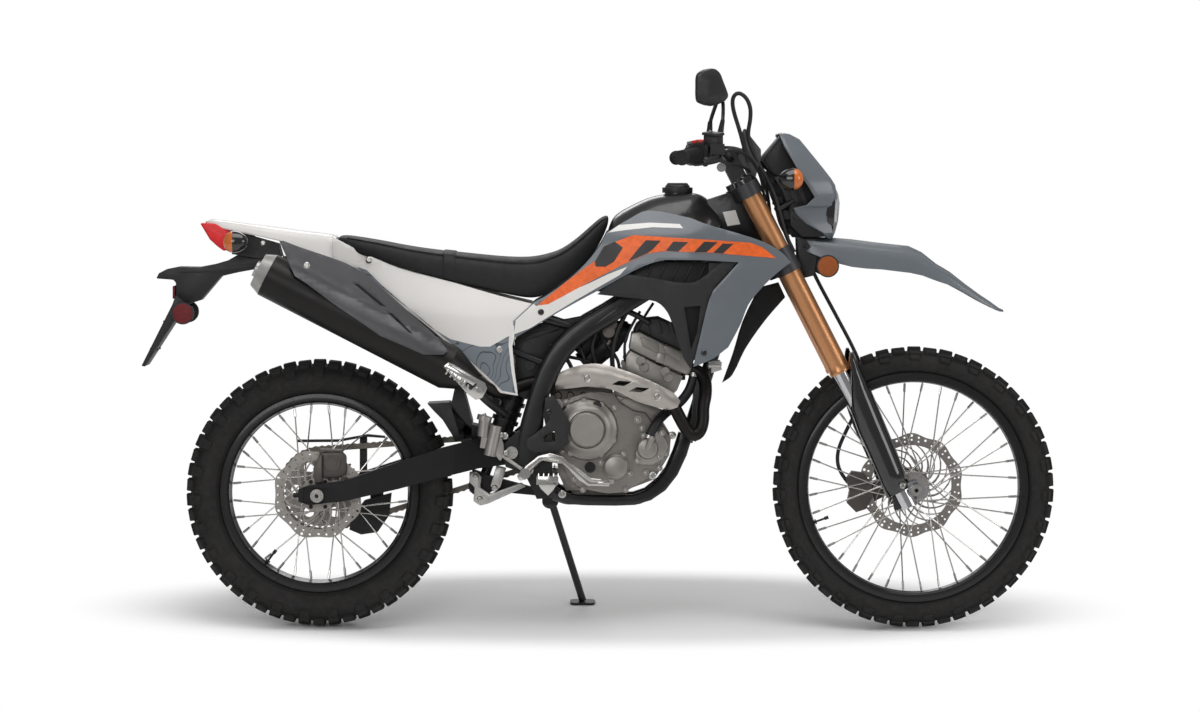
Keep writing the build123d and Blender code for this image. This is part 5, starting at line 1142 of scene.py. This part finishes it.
# x, height of the crown, height of the lower edge and half width
FENDER = [(1160, 952, 925, 58), (1200, 951.5, 908, 66), (1248, 949, 890, 71), (1289, 946, 880, 74),
          (1325, 941.5, 876, 75.5), (1362, 937, 874, 76), (1395, 933.5, 870, 75.5), (1430, 930, 866, 74),
          (1462, 915, 859, 72), (1496, 888, 846, 68), (1530, 868, 835, 62), (1567, 839, 815, 54),
          (1600, 815, 796, 48), (1630, 795, 781, 40), (1650, 780.5, 772, 32), (1660, 776, 771, 26)]
SKIRT = [(1157, 952), (1180, 944), (1204, 907), (1197, 858), (1168, 851), (1160, 890)]


def mask():
    """The headlight's mask: level sections from the chin to the top of the wind deflector."""
    loops = [both_ways([(front - share * (front - back), w * y, z) for y, share in MASK_SHARE])
             for z, front, back, w in MASK]
    face = steered("headlight_mask", hull(loops, closed=False), "panel_grey", 24)
    walled(face, 0.003)
    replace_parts(face, "headlight_cowl")
    glass = []
    bezel = []
    for z, front, w in GLASS:
        curve = [(front - 0.30 * (y / 61) ** 2 * 44, y) for y in (-w, -0.7 * w, -0.35 * w, 0, 0.35 * w, 0.7 * w, w)]
        back = [(front - GLASS_DEEP, y) for x, y in reversed(curve)]
        glass.append([(x, y, z) for x, y in curve + back])
        level = z + (z - 1014) * 0.05
        bezel.append([(x, y * (w + 4) / w, level) for x, y in [(x - 1.5, y) for x, y in curve] + back])
    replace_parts(steered("headlight_glass", hull(glass), "lens_clear", 40), "headlight_lens")
    steered("headlight_bezel", hull(bezel), "black_gloss", 40)


def fender():
    """A long beak with a raised middle, a shoulder crease and a turned-down edge."""
    loops = []
    for x, top, low, w in FENDER:
        fall = top - low
        half = [(0, top), (0.24 * w, top - 0.01 * fall), (0.32 * w, top - 0.10 * fall), (0.62 * w, top - 0.12 * fall),
                (0.84 * w, top - 0.22 * fall), (0.95 * w, top - 0.46 * fall), (0.96 * w, top - 0.56 * fall),
                (w, low + 2), (w, low)]
        loops.append(both_ways([(x, y, z) for y, z in half]))
    shell = steered("front_fender_shell", hull(loops, closed=False), "panel_grey", 26)
    walled(shell, 0.0014)
    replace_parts(shell, "front_fender")
    skirts = [prism(SKIRT, side * 58, side * 62, 1.0) for side in (-1, 1)]
    heads = [screw((1175, side * 62.5, z), (0, side, 0), 5.0) for side in (-1, 1) for z in (866, 930)]
    steered("fender_skirts", join(bmesh.new(), *skirts, *heads), "black_plastic")


def reflector(name, centre, side, slot, body):
    """A round reflector, 27 mm in radius, in its rim and facing out."""
    radius, wall = 27, 10.0
    a = Vector(centre)
    way = Vector((0, side, 0))
    to_object(name + "_rim", rod(a, a + way * wall, radius, 40), "black_plastic", body)
    dome = turned([(radius - 3, wall - 3), (radius - 3, wall + 0.4), (radius * 0.6, wall + 2.0), (0, wall + 2.8)],
                  (0, 0, 0), 40)
    turn = way.to_track_quat("Y", "Z").to_matrix().to_4x4()
    to_object(name, moved(dome, Matrix.Translation(a) @ turn), slot, body)


mask()
fender()
for side, label in SIDES:
    reflector(f"front_reflector_{label}", (1228, side * 124, 883), side, "reflector_amber", "steering")


# ---- fork ----
# up the leg, and the rear and front edge of its guard from the leg's middle
GUARD = [(14, -38, 24), (60, -34, 29), (120, -30, 34), (187, -27, 39), (240, -20, 43), (265, -12, 44.5),
         (300, 6, 45.5), (335, 22, 46.5), (358, 35, 47.5), (368, 43, 48)]
GUARD_TURNS = [math.radians(degrees) for degrees in (196, 180, 160, 135, 110, 90, 70, 45, 20, 0, -18)]
FORK_FOOT = [(-36, -22), (-20, 24), (14, 30), (44, 22), (54, 6), (50, -12), (30, -22), (0, -26)]
# profiles about the leg: radius and height up it
SEAL = [(22, 334), (26.8, 334.5), (27.2, 337), (27.2, 343), (26, 345), (26, 352), (25.7, 354)]
FORK_CAP = [(0, 863), (13, 863), (14, 861), (23, 860), (25.6, 858), (26.2, 855), (26.2, 838)]
FORK_VALVE = [(0, 868), (6.2, 868), (6.8, 867), (6.8, 862)]


def leg_turned(profile, y):
    """A shape turned about the fork leg; the profile is (radius, up)."""
    return spun([(r, y, up) for r, up in profile], (0, y, 0), (0, 0, 1), 40)


def on_leg(name, bm, slot, angle=32.0):
    """A piece modelled as (ahead, y, up) along the fork leg."""
    turn = Matrix((STEER_AHEAD, (0, 1, 0), STEER_UP)).transposed().to_4x4()
    return steered(name, moved(bm, Matrix.Translation(LEG_FOOT) @ turn), slot, angle)


for side, label in SIDES:
    y = side * FORK_Y
    loops = [[((rear + front) / 2 + (front - rear) / 2 * math.cos(turn), y + side * (2 + 30 * math.sin(turn)), up)
              for turn in GUARD_TURNS] for up, rear, front in GUARD]
    guard = on_leg(f"fork_guard_{label}", hull(loops, closed=False), "black_gloss", 50)
    walled(guard, 0.0025, 0)
    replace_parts(guard, "fork_guards")
    on_leg(f"fork_seal_{label}", leg_turned(SEAL, y), "fork_gold")
    on_leg(f"fork_cap_{label}", join(leg_turned(FORK_CAP, y), leg_turned(FORK_VALVE, y)), "black_gloss")
    on_leg(f"fork_foot_{label}", prism(FORK_FOOT, y - 17, y + 17, 4.0), "black_plastic")
    on_leg(f"axle_ring_{label}", stub(AXLE_LEAD, 0, y + side * 17, y + side * 20, 10.5, 28), "axle_steel")
    axle_end = screw((AXLE_LEAD, y + side * 20, 0), (0, side, 0), 8.5, 3.5)
    on_leg(f"axle_end_{label}", axle_end, "black_plastic")
    on_leg(f"guard_bolt_{label}", screw((8, y + side * 30.5, 26), (0.1, side, 0), 8.0, 5.0), "axle_steel")
steered("front_brake_hose", tube([
    (1196, 72, 880), (1204, 73, 859), (1255, 74, 765), (1306, 74, 671), (1334, 74, 600), (1312, 78, 525),
    (1283, 76, 470), (1262, 70, 420), (1268, 68, 372), (1296, 66, 342)], 4.6), "black_plastic")


# ---- mirrors and indicators ----
MIRROR = curve_through([(-66, 26), (-50, 37), (-14, 44.5), (16, 42), (40, 16), (64, -14), (66, -26), (40, -36),
                        (-6, -44), (-58, -36), (-67, -26), (-68, 0)], ())
# depth of each ring of the housing, and its size against the outline
MIRROR_RINGS = ((-12, 0.93), (-11, 0.98), (-4, 1.0), (3, 0.97), (10, 0.84), (16, 0.60), (18.5, 0.30))
# head, then foot to head along each stalk; the left one leans forward of its boss
MIRRORS = {-1: (Vector((945, -327, 1307.5)),
                [(949, -232, 1164), (938, -232, 1176), (935, -233, 1193), (941, -240, 1228), (950, -272, 1258),
                 (958, -300, 1281), (955, -316, 1300)]),
           1: (Vector((961, 327, 1316)),
               [(951, 232, 1164), (972, 233, 1176), (981, 234, 1196), (984, 244, 1236), (986, 276, 1266),
                (985, 300, 1288), (972, 316, 1308)])}
# along x from the middle: distance and radius
LAMP_SHELL = [(-36, 6), (-33, 12), (-26, 19), (-16, 24.5), (-4, 27), (0, 27)]
LAMP_LENS = [(0, 25.5), (8, 24.5), (15, 20), (20, 13), (22.5, 5)]
LAMP_STEPS = 28


def mirror(side, label):
    """A rounded housing, its glass looking back, and a bent stalk with a rubber boot."""
    centre, path = MIRRORS[side]
    across = Vector((0.5, -side * 0.866, 0))
    facing = Vector((0.866, side * 0.5, 0))
    place = Matrix.Translation(centre) @ Matrix((across, (0, 0, 1), facing)).transposed().to_4x4()
    shell = hull([[(u * grow + 6 * (1 - grow), v * grow, depth) for u, v in MIRROR] for depth, grow in MIRROR_RINGS])
    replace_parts(steered(f"mirror_{label}", moved(shell, place), "black_plastic", 26), "mirrors")
    glass = hull([[(u * 0.9, v * 0.9, depth) for u, v in MIRROR] for depth in (-12.6, -11.6)])
    steered(f"mirror_glass_{label}", moved(glass, place), "mirror_glass")
    stalk = join(tube(path, 4.6), rod(path[1], path[3], 9.5, 20, 5.5), rod(path[0], path[1], 11, 6))
    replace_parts(steered(f"mirror_stalk_{label}", stalk, "bar_black"), "mirrors")


def bullet(name, centre, way, node, foot, body):
    """An indicator with its stalk: a dark housing along x with its lens at the front or rear."""
    cx, cy, cz = centre
    turns = [2 * math.pi * i / LAMP_STEPS for i in range(LAMP_STEPS)]
    shell, lens = (join(bmesh.new(), hull([[(cx + way * x, cy + 0.85 * r * math.cos(a), cz + r * math.sin(a))
                                            for a in turns] for x, r in rows])) for rows in (LAMP_SHELL, LAMP_LENS))
    neck = (cx - way * 14, cy, cz)
    join(shell, tube([foot, neck], 6.5), rod(foot, Vector(foot).lerp(Vector(neck), 0.45), 11, 20, 8))
    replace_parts(to_object(name + "_housing", shell, "black_gloss", body), node)
    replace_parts(to_object(name + "_lens", lens, "lens_amber", body), node)


for side, label in SIDES:
    mirror(side, label)
    bullet(f"front_indicator_{label}", (1145, side * 144, 1092), 1, "front_indicators", (1138, side * 56, 1084),
           "steering")
    bullet(f"rear_indicator_{label}", (-202, side * 130, 936), -1, "rear_indicators", (-190, side * 42, 930),
           "chassis")

# ---- grips, switches and levers ----
BAR_END = (872, 410, 1142)
BAR_KNEE = (918, 285, 1153)
UP = Vector((0, 0, 1))
SWITCH_BLOCK = [(-22, -26), (-24, 14), (-14, 25), (12, 26), (24, 14), (26, -14), (12, -28), (-10, -30)]
SWITCH = [(-20, 22), (-20, 30), (-6, 33), (8, 32), (12, 27), (4, 22)]
PERCH = [(-4, -15), (-6, 12), (14, 16), (40, 8), (46, -6), (30, -16), (10, -19)]


def on_side(point, side):
    """A left-hand point, or its mirror image."""
    x, y, z = point
    return Vector((x, side * y, z))


def grip(side, label):
    """A ribbed grip with its flange and bar end."""
    end = on_side(BAR_END, side)
    way = (on_side(BAR_KNEE, side) - end).normalized()
    # along the bar from its end: start, stop, radius and sides
    ribs = [(10 + 6.4 * i, 10 + 6.4 * i + 3.2, 16.6, 28) for i in range(15)]
    bm = bmesh.new()
    for start, stop, radius, steps in [(-4, 112, 15.2, 28), *ribs, (-3.6, 3, 18, 28), (107, 110, 24, 32),
                                       (110, 115, 21, 32), (-4.4, -3.6, 8, 20)]:
        join(bm, rod(end + way * start, end + way * stop, radius, steps))
    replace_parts(steered(f"grip_{label}", bm, "grip_rubber"), "grips")


def controls(side, label):
    """Switch block, lever perch with its lever, and on the right the brake's reservoir."""
    end = on_side(BAR_END, side)
    way = (on_side(BAR_KNEE, side) - end).normalized()
    fore = way.cross(UP).normalized()
    fore = fore if fore.x > 0 else -fore
    frame_of = Matrix((fore, way, UP)).transposed().to_4x4()

    def at(along, bm):
        """A mesh drawn about the bar's line, moved along it."""
        return moved(bm, Matrix.Translation(end + way * along) @ frame_of)

    block = join(at(132, prism(SWITCH_BLOCK, -15, 15, 4.0)),
                 at(132, prism([(-14, 25), (-8, 30), (10, 30), (14, 25)], -11, 11, 1.5)),
                 at(156, prism(PERCH, -8, 8, 3.0)), at(132, stub(-12, 18, -16, -19, 7, 20)))
    steered(f"switch_block_{label}", block, "black_plastic")
    switch = at(130, prism(SWITCH, -9, 9, 2.0))
    steered(f"switch_{label}", switch, "switch_red" if side < 0 else "panel_grey")
    root = end + way * 148 + Vector((34, 0, -6))
    tip = end + way * 12 + Vector((50, 0, -14))
    lever = join(tube([root, root - way * 22 + Vector((16, 0, -2)), root - way * 60 + Vector((24, 0, -4)),
                       (root + tip) / 2 + Vector((16, 0, -4)), tip], 5.4),
                 ball(tip, (8, 8, 8)), rod(root + UP * 9, root - UP * 9, 8, 20))
    steered(f"hand_lever_{label}", lever, "bar_black")
    if side < 0:
        reservoir = join(at(152, prism([(6, 16), (6, 44), (44, 40), (44, 12)], -20, 20, 4.0)),
                         at(152, prism([(3, 43), (4, 50), (45, 46), (46, 39)], -23, 23, 2.0)))
        steered("brake_reservoir", reservoir, "black_plastic")
        lid = (0.1, 0, 1)
        screws = at(152, join(screw((12, 14, 49.5), lid, 3.5), screw((36, -14, 47), lid, 3.5)))
        steered("reservoir_screws", screws, "axle_steel")


for side, label in SIDES:
    grip(side, label)
    controls(side, label)

# ---- hoses, cables and wiring ----
HOSE_BRACKET = [(1025, 1213), (1033, 1211), (1043, 1193), (1067, 1163), (1068, 1143), (1053, 1090), (1037, 1093),
                (1028, 1114), (1011, 1143), (1025, 1175), (1020, 1199)]
UPPER_HOSE = [(1037, -96, 1131), (1025, -100, 1172), (1016, -106, 1206), (998, -116, 1259), (997, -122, 1288),
              (1011, -124, 1300), (1030, -122, 1288), (1041, -118, 1264), (1041, -112, 1235), (1035, -104, 1204),
              (1038, -98, 1180), (1062, -92, 1128), (1096, -78, 1070), (1118, -72, 1000), (1130, -72, 950),
              (1150, -70, 915)]
# radius and way of each cable
CABLES = ((4.2, ((930, 262, 1160), (985, 225, 1172), (1040, 150, 1160), (1072, 90, 1120), (1090, 60, 1060),
                 (1096, 55, 1000))),
          (3.6, ((935, -258, 1150), (975, -232, 1160), (1020, -170, 1158), (1052, -110, 1130), (1075, -60, 1080),
                 (1080, -50, 1020))),
          (3.2, ((940, -256, 1140), (990, -210, 1128), (1030, -120, 1120), (1060, -50, 1090), (1090, -30, 1030))),
          (4.0, ((1100, -60, 1050), (1108, -62, 1010), (1118, -58, 975), (1136, -50, 950))),
          (4.5, ((1062, 30, 1140), (1090, 20, 1110), (1120, 10, 1090), (1150, 0, 1080))))
WIRING = [(1074, 1112), (1122, 1104), (1140, 1050), (1166, 985), (1172, 950), (1146, 950), (1118, 990), (1092, 1050)]
steered("brake_hose_bracket", prism(HOSE_BRACKET, -96, -84, 3.0), "guard_grey")
steered("brake_hose_upper", tube(UPPER_HOSE, 5.0), "black_plastic")
steered("control_cables", join(bmesh.new(), *[tube(way, radius) for radius, way in CABLES]), "black_plastic")
knob = join(stub(973, 1119, -36, -58, 11, 28), stub(973, 1119, -58, -61, 7, 6),
            prism([(966, 1130), (1002, 1126), (1006, 1116), (980, 1112)], -52, -46, 1.0))
steered("clamp_bolt", knob, "polished")
wiring = bmesh.new()
for x, y, z, half, high in ((1110, -46, 1040, 13, 11), (1130, -52, 1005, 10, 13), (1092, -40, 1085, 11, 9),
                            (1140, -30, 965, 12, 10)):
    outline = [(x - half, z - high), (x - half, z + high), (x + half, z + high - 3), (x + half, z - high + 3)]
    join(wiring, prism(outline, y - 9, y + 9, 2.0))
steered("wiring_blocks", join(wiring, prism(WIRING, -32, -24, 2.0)), "black_plastic")

# ---- housing of the lamp and the instruments ----
LAMP_BACK = [(1099, 1096), (1168, 1110), (1196, 1066), (1194, 1012), (1143, 1016), (1129, 1046)]
LAMP_FOOT = [(1136, 1026), (1192, 1012), (1232, 976), (1228, 952), (1168, 951), (1141, 978)]
LAMP_CHIN = [(1146, 1006), (1186, 998), (1216, 974), (1212, 966), (1180, 988), (1148, 994)]
inner = join(prism(LAMP_BACK, -62, 62, 3.0), prism(LAMP_FOOT, -58, 58, 3.0))
for side in (-1, 1):
    for x, z in ((1112, 1086), (1134, 1080), (1156, 1074)):
        join(inner, prism([(x, z), (x + 12, z + 4), (x + 30, z - 44), (x + 18, z - 48)], side * 61, side * 66, 1.0))
    join(inner, rod((1108, side * 74, 1016), (1150, side * 58, 1040), 5.5, 12),
         rod((1146, side * 64, 1076), (1126, side * 60, 1076), 12, 24),
         prism(LAMP_CHIN, side * 57, side * 61, 1.0))
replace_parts(steered("lamp_housing", inner, "black_plastic"), "headlight_housing")
DIAL = [(1071, 1139), (1114, 1190), (1127, 1184), (1160, 1120), (1164, 1098), (1131, 1086), (1095, 1105)]
steered("instrument_box", prism(DIAL, -52, 52, 4.0), "black_plastic")
# a thin grey strip along the top edge of the instrument box: a painted highlight line, where light catches that edge
steered("instrument_painted_highlight", prism([(1066, 1139), (1113, 1195), (1118, 1192), (1071, 1134)], -54, 54, 1.5), "guard_grey")
yoke = join(prism([(990, 1168), (1027, 1163), (1034, 1124), (1010, 1106), (992, 1120)], -30, 30, 3.0),
            stub(1006, 1146, -30, -38, 12, 24))
steered("ignition_block", yoke, "black_plastic")
steered("mask_bead", ball((1112, 0, 1196), (7, 20, 7)), "black_gloss")

# ---- tail ----
# x, crown, lower edge and half width
TAIL = [(-276, 983, 981, 26), (-264, 989.5, 976, 34), (-228, 986, 966, 46), (-170, 978, 954, 59),
        (-92, 968.5, 937, 69), (-44, 962, 918, 75), (0, 957, 905, 79), (30, 953, 893, 82), (42, 947, 887, 83)]
WING = [(34, 951), (44, 944), (90, 920), (126, 903), (116, 892), (84, 865), (65, 870), (34, 891)]
LAMP = [(-289, 980), (-253, 979), (-229, 968), (-212, 963), (-222, 920), (-229, 911), (-246, 923), (-265, 940)]
LAMP_RIM = [(-214, 966), (-206, 966), (-206, 912), (-222, 912), (-226, 916)]


def tail_section(top, low, w):
    """Half a section of the tail cowl, rounded on top."""
    return [(0, top), (0.45 * w, top - 0.5), (0.72 * w, top - 2), (0.86 * w, top - 0.12 * (top - low) - 2),
            (0.95 * w, top - 0.45 * (top - low)), (w, low + 3), (0.98 * w, low), (0.9 * w, low + 1), (0, low + 3)]


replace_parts(to_object("tail_cowl_shell", hull(rings_of(TAIL, tail_section)), "panel_white", angle=30), "tail_cowl")
for side, label in SIDES:
    wing = to_object(f"tail_wing_{label}", sheet(WING, lambda x, z: 84.5, 3.0, side), "panel_white")
    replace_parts(wing, "tail_cowl")
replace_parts(to_object("tail_lamp_lens", prism(LAMP, -44, 44, 5.0, 3), "lens_red"), "tail_lamp")
to_object("tail_lamp_rim", prism(LAMP_RIM, -46, 46, 2.0), "black_gloss")

# ---- plate holder: a moulded arm with ribs, and the slanted plate under it ----
ARM = [(-130, 896), (-165, 896), (-195, 905), (-221, 890), (-255, 880), (-292, 873), (-341, 874), (-370, 868),
       (-389, 858), (-396, 845), (-353, 842), (-348, 834), (-348, 783), (-330, 779), (-287, 793), (-238, 851),
       (-195, 861), (-130, 873)]
ARM_RIB = [(-150, 880), (-230, 874), (-330, 868), (-340, 860), (-230, 862), (-150, 872)]
PLATE = [(-325, 790), (-346, 806), (-355, 782), (-429.4, 634), (-421, 632), (-350, 742)]
arm = join(prism(ARM, -38, 38, 4.0), prism(ARM_RIB, -42, -39, 0.8), prism(ARM_RIB, 39, 42, 0.8))
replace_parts(to_object("plate_arm", arm, "black_plastic"), "plate_holder")
backing = join(prism(PLATE, -58, 58, 2.0), *[rod((x - 6, y, z), (x + 12, y, z + 4), 5, 12)
                                             for x, z in ((-372, 738), (-404, 672)) for y in (-34, 34)])
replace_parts(to_object("plate_back", backing, "black_plastic"), "plate_holder")
bar = prism([(-356, 827), (-350, 827), (-350, 796), (-356, 796)], -34, 34, 1.5)
to_object("rear_bar_reflector", bar, "reflector_red")
for side, label in SIDES:
    stay = stub(-322, 765, side * 36, side * 66, 12, 20)
    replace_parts(to_object(f"reflector_stay_{label}", stay, "black_plastic"), "plate_holder")
    reflector(f"rear_reflector_{label}", (-328, side * 62, 762), side, "reflector_red", "chassis")
bolts("tail_bolts", [((-136, side * 41, 932), (0, side, 0)) for side in (-1, 1)], radius=7)

# ---- passenger pegs, the guard before the wheel and the filler ----
PEG = [(306, 642), (319, 652), (333, 646), (392, 610), (406, 603), (412, 590), (400, 566), (384, 562), (360, 580)]
INNER_GUARD = [(262, 545), (316, 548), (332, 538), (362, 496), (392, 490), (388, 462), (330, 452), (322, 470),
               (300, 505), (280, 525)]
for side, label in SIDES:
    hanger = join(tube([(372, side * 188, 600), (394, side * 180, 576), (420, side * 140, 548),
                        (452, side * 102, 522)], 10.5, 20),
                  rod((366, side * 188, 606), (380, side * 188, 592), 14, 24))
    to_object(f"peg_hanger_{label}", hanger, "frame_black")
    step = join(prism(PEG, side * 190, side * 197, 1.5),
                prism([(312, 640), (320, 647), (388, 606), (378, 596)], side * 196, side * 212, 2.0))
    for i in range(6):
        x, z = 322 + 10 * i, 642 - 7 * i
        join(step, prism([(x, z), (x + 4, z - 2), (x - 8, z - 20), (x - 12, z - 18)], side * 196, side * 201, 0.6))
    join(step, stub(392, 586, side * 186, side * 203, 7, 16))
    to_object(f"passenger_peg_{label}", step, "polished")
to_object("inner_mudguard", prism(INNER_GUARD, -50, 50, 3.0), "black_plastic")
to_object("tank_neck", rod((868, 0, 1040), (868, 0, 1060), 31, 40), "tank_black")
filler = join(rod((868, 0, 1057), (868, 0, 1070), 37, 24), rod((868, 0, 1070), (868, 0, 1076), 31, 40, 28),
              prism([(840, 1074), (844, 1081), (892, 1081), (896, 1074)], -8, 8, 2.0))
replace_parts(to_object("filler_cap", soften(filler, 1.2, angle=60), "black_plastic"), "tank_cap")

# ---- muffler guard and header ----
SILENCER_GUARD = [(-88, 940), (-78, 940), (-38, 925), (34, 901), (72, 887), (117, 863), (175, 813), (230, 764),
                  (280, 721), (317, 678), (307, 669), (259, 669), (211, 690), (154, 714), (118, 740),
                  (49, 786), (-23, 839), (-50, 856), (-64, 885), (-76, 913)]
VENTS = ([(90, 839), (102, 837), (169, 782), (154, 786)], [(172, 768), (183, 767), (232, 719), (222, 722)])
CAN_END = Vector((380, 0, 603))
CAN_WAY = Vector((-498, 0, 255)).normalized()
CAN_Y, CAN_R = 126, 61.0
GUARD_LEVEL = 46.0    # past this far from the can's middle line the guard is flat
HEADER = [(884, -38, 630), (912, -40, 632), (936, -52, 610), (938, -72, 570), (930, -84, 540), (931, -92, 506),
          (923, -97, 480), (908, -100, 472), (893, -103, 482), (876, -108, 512), (858, -112, 548), (820, -114, 584),
          (770, -114, 602), (690, -104, 614), (610, -64, 608), (520, -60, 600), (468, -76, 582), (434, -98, 571),
          (408, -126, 588.6), (372, -126, 607.1)]


def guard_y(x, z):
    """The guard stands off the silencer's round side and stays flat past its shoulder."""
    level = (Vector((x, 0, z)) - CAN_END).dot(Vector((-CAN_WAY.z, 0, CAN_WAY.x)))
    level = max(-GUARD_LEVEL, min(GUARD_LEVEL, level))
    return CAN_Y + math.sqrt(CAN_R ** 2 - level ** 2)


guard = sheet(SILENCER_GUARD, guard_y, 3.0, cell=14.0, holes=VENTS)
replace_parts(to_object("silencer_guard", guard, "guard_grey", angle=24), "muffler_guard")
vents = [sheet(vent, lambda x, z: guard_y(x, z) - 2.6, 1.0, edge=0) for vent in VENTS]
to_object("guard_vents", join(bmesh.new(), *vents), "muffler_black")
bolts_right("guard_bolt", [(-23, -guard_y(-23, 881) - 0.3, 881)], radius=8.5)
bolts("cap_bolt", [((-128, -170, 836), (-0.2, -1, -0.3))])
header = join(tube(HEADER, 15.5, 24), rod((878, -38, 630), (888, -38, 630), 27, 24))
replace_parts(to_object("exhaust_header", header, "exhaust_steel"), "exhaust_pipe")


# ---- floor, light and camera ----
FADE_FROM, FADE_TO = 0.85, 1.35      # where the floor starts to fade, and where it is white
FADE_NARROW = (1.0, 3.2, 1.0)        # the fade is this much quicker across the machine than along it
FLOOR_DROP = 0.0005                  # the floor lies this far under the tyres, in metres
WORLD_LIGHT = 0.28
# name, place, aim, length, power and width of each lamp
LAMPS = (("overhead", (0.2, -0.6, 3.6), (0, -0.1, 0.5), 3.2, 56, 2.2),
         ("near_side", (-1.4, -4.2, 2.4), (0, -0.1, 0.6), 2.4, 36, 1.6),
         ("front_side", (3.8, -2.2, 2.0), (0.3, -0.1, 0.6), 1.6, 24, 1.6),
         ("far_side", (-0.5, 4.0, 2.6), (0, 0, 0.6), 2.6, 40, 1.6))
# in mm of the upright frame: what the camera aims at, how far off it stands and how far above its aim
CAMERA_AIM, CAMERA_OFF, CAMERA_ABOVE = Vector((681.2, 0, 660.5)), 11000.0, 479.0
CAMERA_LENS, CAMERA_ROLL = 135.7, -0.2


def floor():
    """A pale floor that fades to white away from the machine and keeps its shadow."""
    bm = bmesh.new()
    bmesh.ops.create_grid(bm, x_segments=1, y_segments=1, size=60)
    mesh = bpy.data.meshes.new("floor")
    bm.to_mesh(mesh)
    bm.free()
    ground_piece = bpy.data.objects.new("floor", mesh)
    bpy.context.scene.collection.objects.link(ground_piece)
    ground_piece.location.z = -FLOOR_DROP
    material, tree, shader = nodes_of("studio_floor")
    shader.inputs["Base Color"].default_value = (1.0, 1.0, 1.0, 1)
    shader.inputs["Roughness"].default_value = 0.9
    shader.inputs["Specular IOR Level"].default_value = 0.0
    white, where, narrow, reach, fade, light_path, seen, mix = (tree.nodes.new("ShaderNode" + kind) for kind in (
        "Emission", "TexCoord", "Mapping", "VectorMath", "MapRange", "LightPath", "Math", "MixShader"))
    narrow.inputs["Scale"].default_value = FADE_NARROW
    reach.operation = "LENGTH"
    fade.interpolation_type = "SMOOTHSTEP"
    fade.inputs["From Min"].default_value = FADE_FROM
    fade.inputs["From Max"].default_value = FADE_TO
    seen.operation = "MULTIPLY"
    for start, end in ((where.outputs["Object"], narrow.inputs["Vector"]),
                       (narrow.outputs["Vector"], reach.inputs[0]),
                       (reach.outputs["Value"], fade.inputs["Value"]),
                       (fade.outputs["Result"], seen.inputs[0]),
                       (light_path.outputs["Is Camera Ray"], seen.inputs[1]),
                       (seen.outputs["Value"], mix.inputs["Fac"]),
                       (shader.outputs["BSDF"], mix.inputs[1]),
                       (white.outputs["Emission"], mix.inputs[2]),
                       (mix.outputs["Shader"], tree.nodes["Material Output"].inputs["Surface"])):
        tree.links.new(start, end)
    mesh.materials.append(material)
    ground_piece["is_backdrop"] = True


def lamp(name, place, aim, size, power, height):
    """A soft area light."""
    data = bpy.data.lights.new(name, "AREA")
    data.shape = "RECTANGLE"
    data.size = size
    data.size_y = height
    data.energy = power
    light = bpy.data.objects.new(name, data)
    light.location = place
    light.rotation_euler = (Vector(aim) - Vector(place)).to_track_quat("-Z", "Y").to_euler()
    bpy.context.scene.collection.objects.link(light)


def studio():
    """A white world and four soft lights."""
    world = bpy.data.worlds.new("studio")
    bpy.context.scene.world = world
    world.use_nodes = True
    back = world.node_tree.nodes["Background"]
    back.inputs["Color"].default_value = (1, 1, 1, 1)
    back.inputs["Strength"].default_value = WORLD_LIGHT
    for row in LAMPS:
        lamp(*row)
    bpy.context.scene.view_settings.view_transform = "Standard"


def camera():
    """On the right of the machine's own middle plane, at the height of the handlebar, aimed at its middle."""
    eye = CAMERA_AIM + Vector((0, -CAMERA_OFF, CAMERA_ABOVE))
    data = bpy.data.cameras.new("camera")
    data.sensor_width = 36.0
    data.lens = CAMERA_LENS
    data.clip_start = 0.5
    data.clip_end = 200.0
    view = bpy.data.objects.new("camera", data)
    turn = Matrix(((1, 0, 0), (0, 0, -1), (0, 1, 0)))
    tilt = Matrix.Rotation(-math.atan2(CAMERA_ABOVE, CAMERA_OFF), 3, "X")
    roll = Matrix.Rotation(math.radians(CAMERA_ROLL), 3, "Y")
    view.matrix_world = Matrix.Translation(PLACE @ eye) @ (UPRIGHT.to_3x3() @ tilt @ roll @ turn).to_4x4()
    bpy.context.scene.collection.objects.link(view)
    bpy.context.scene.camera = view


floor()
studio()
camera()

low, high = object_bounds()
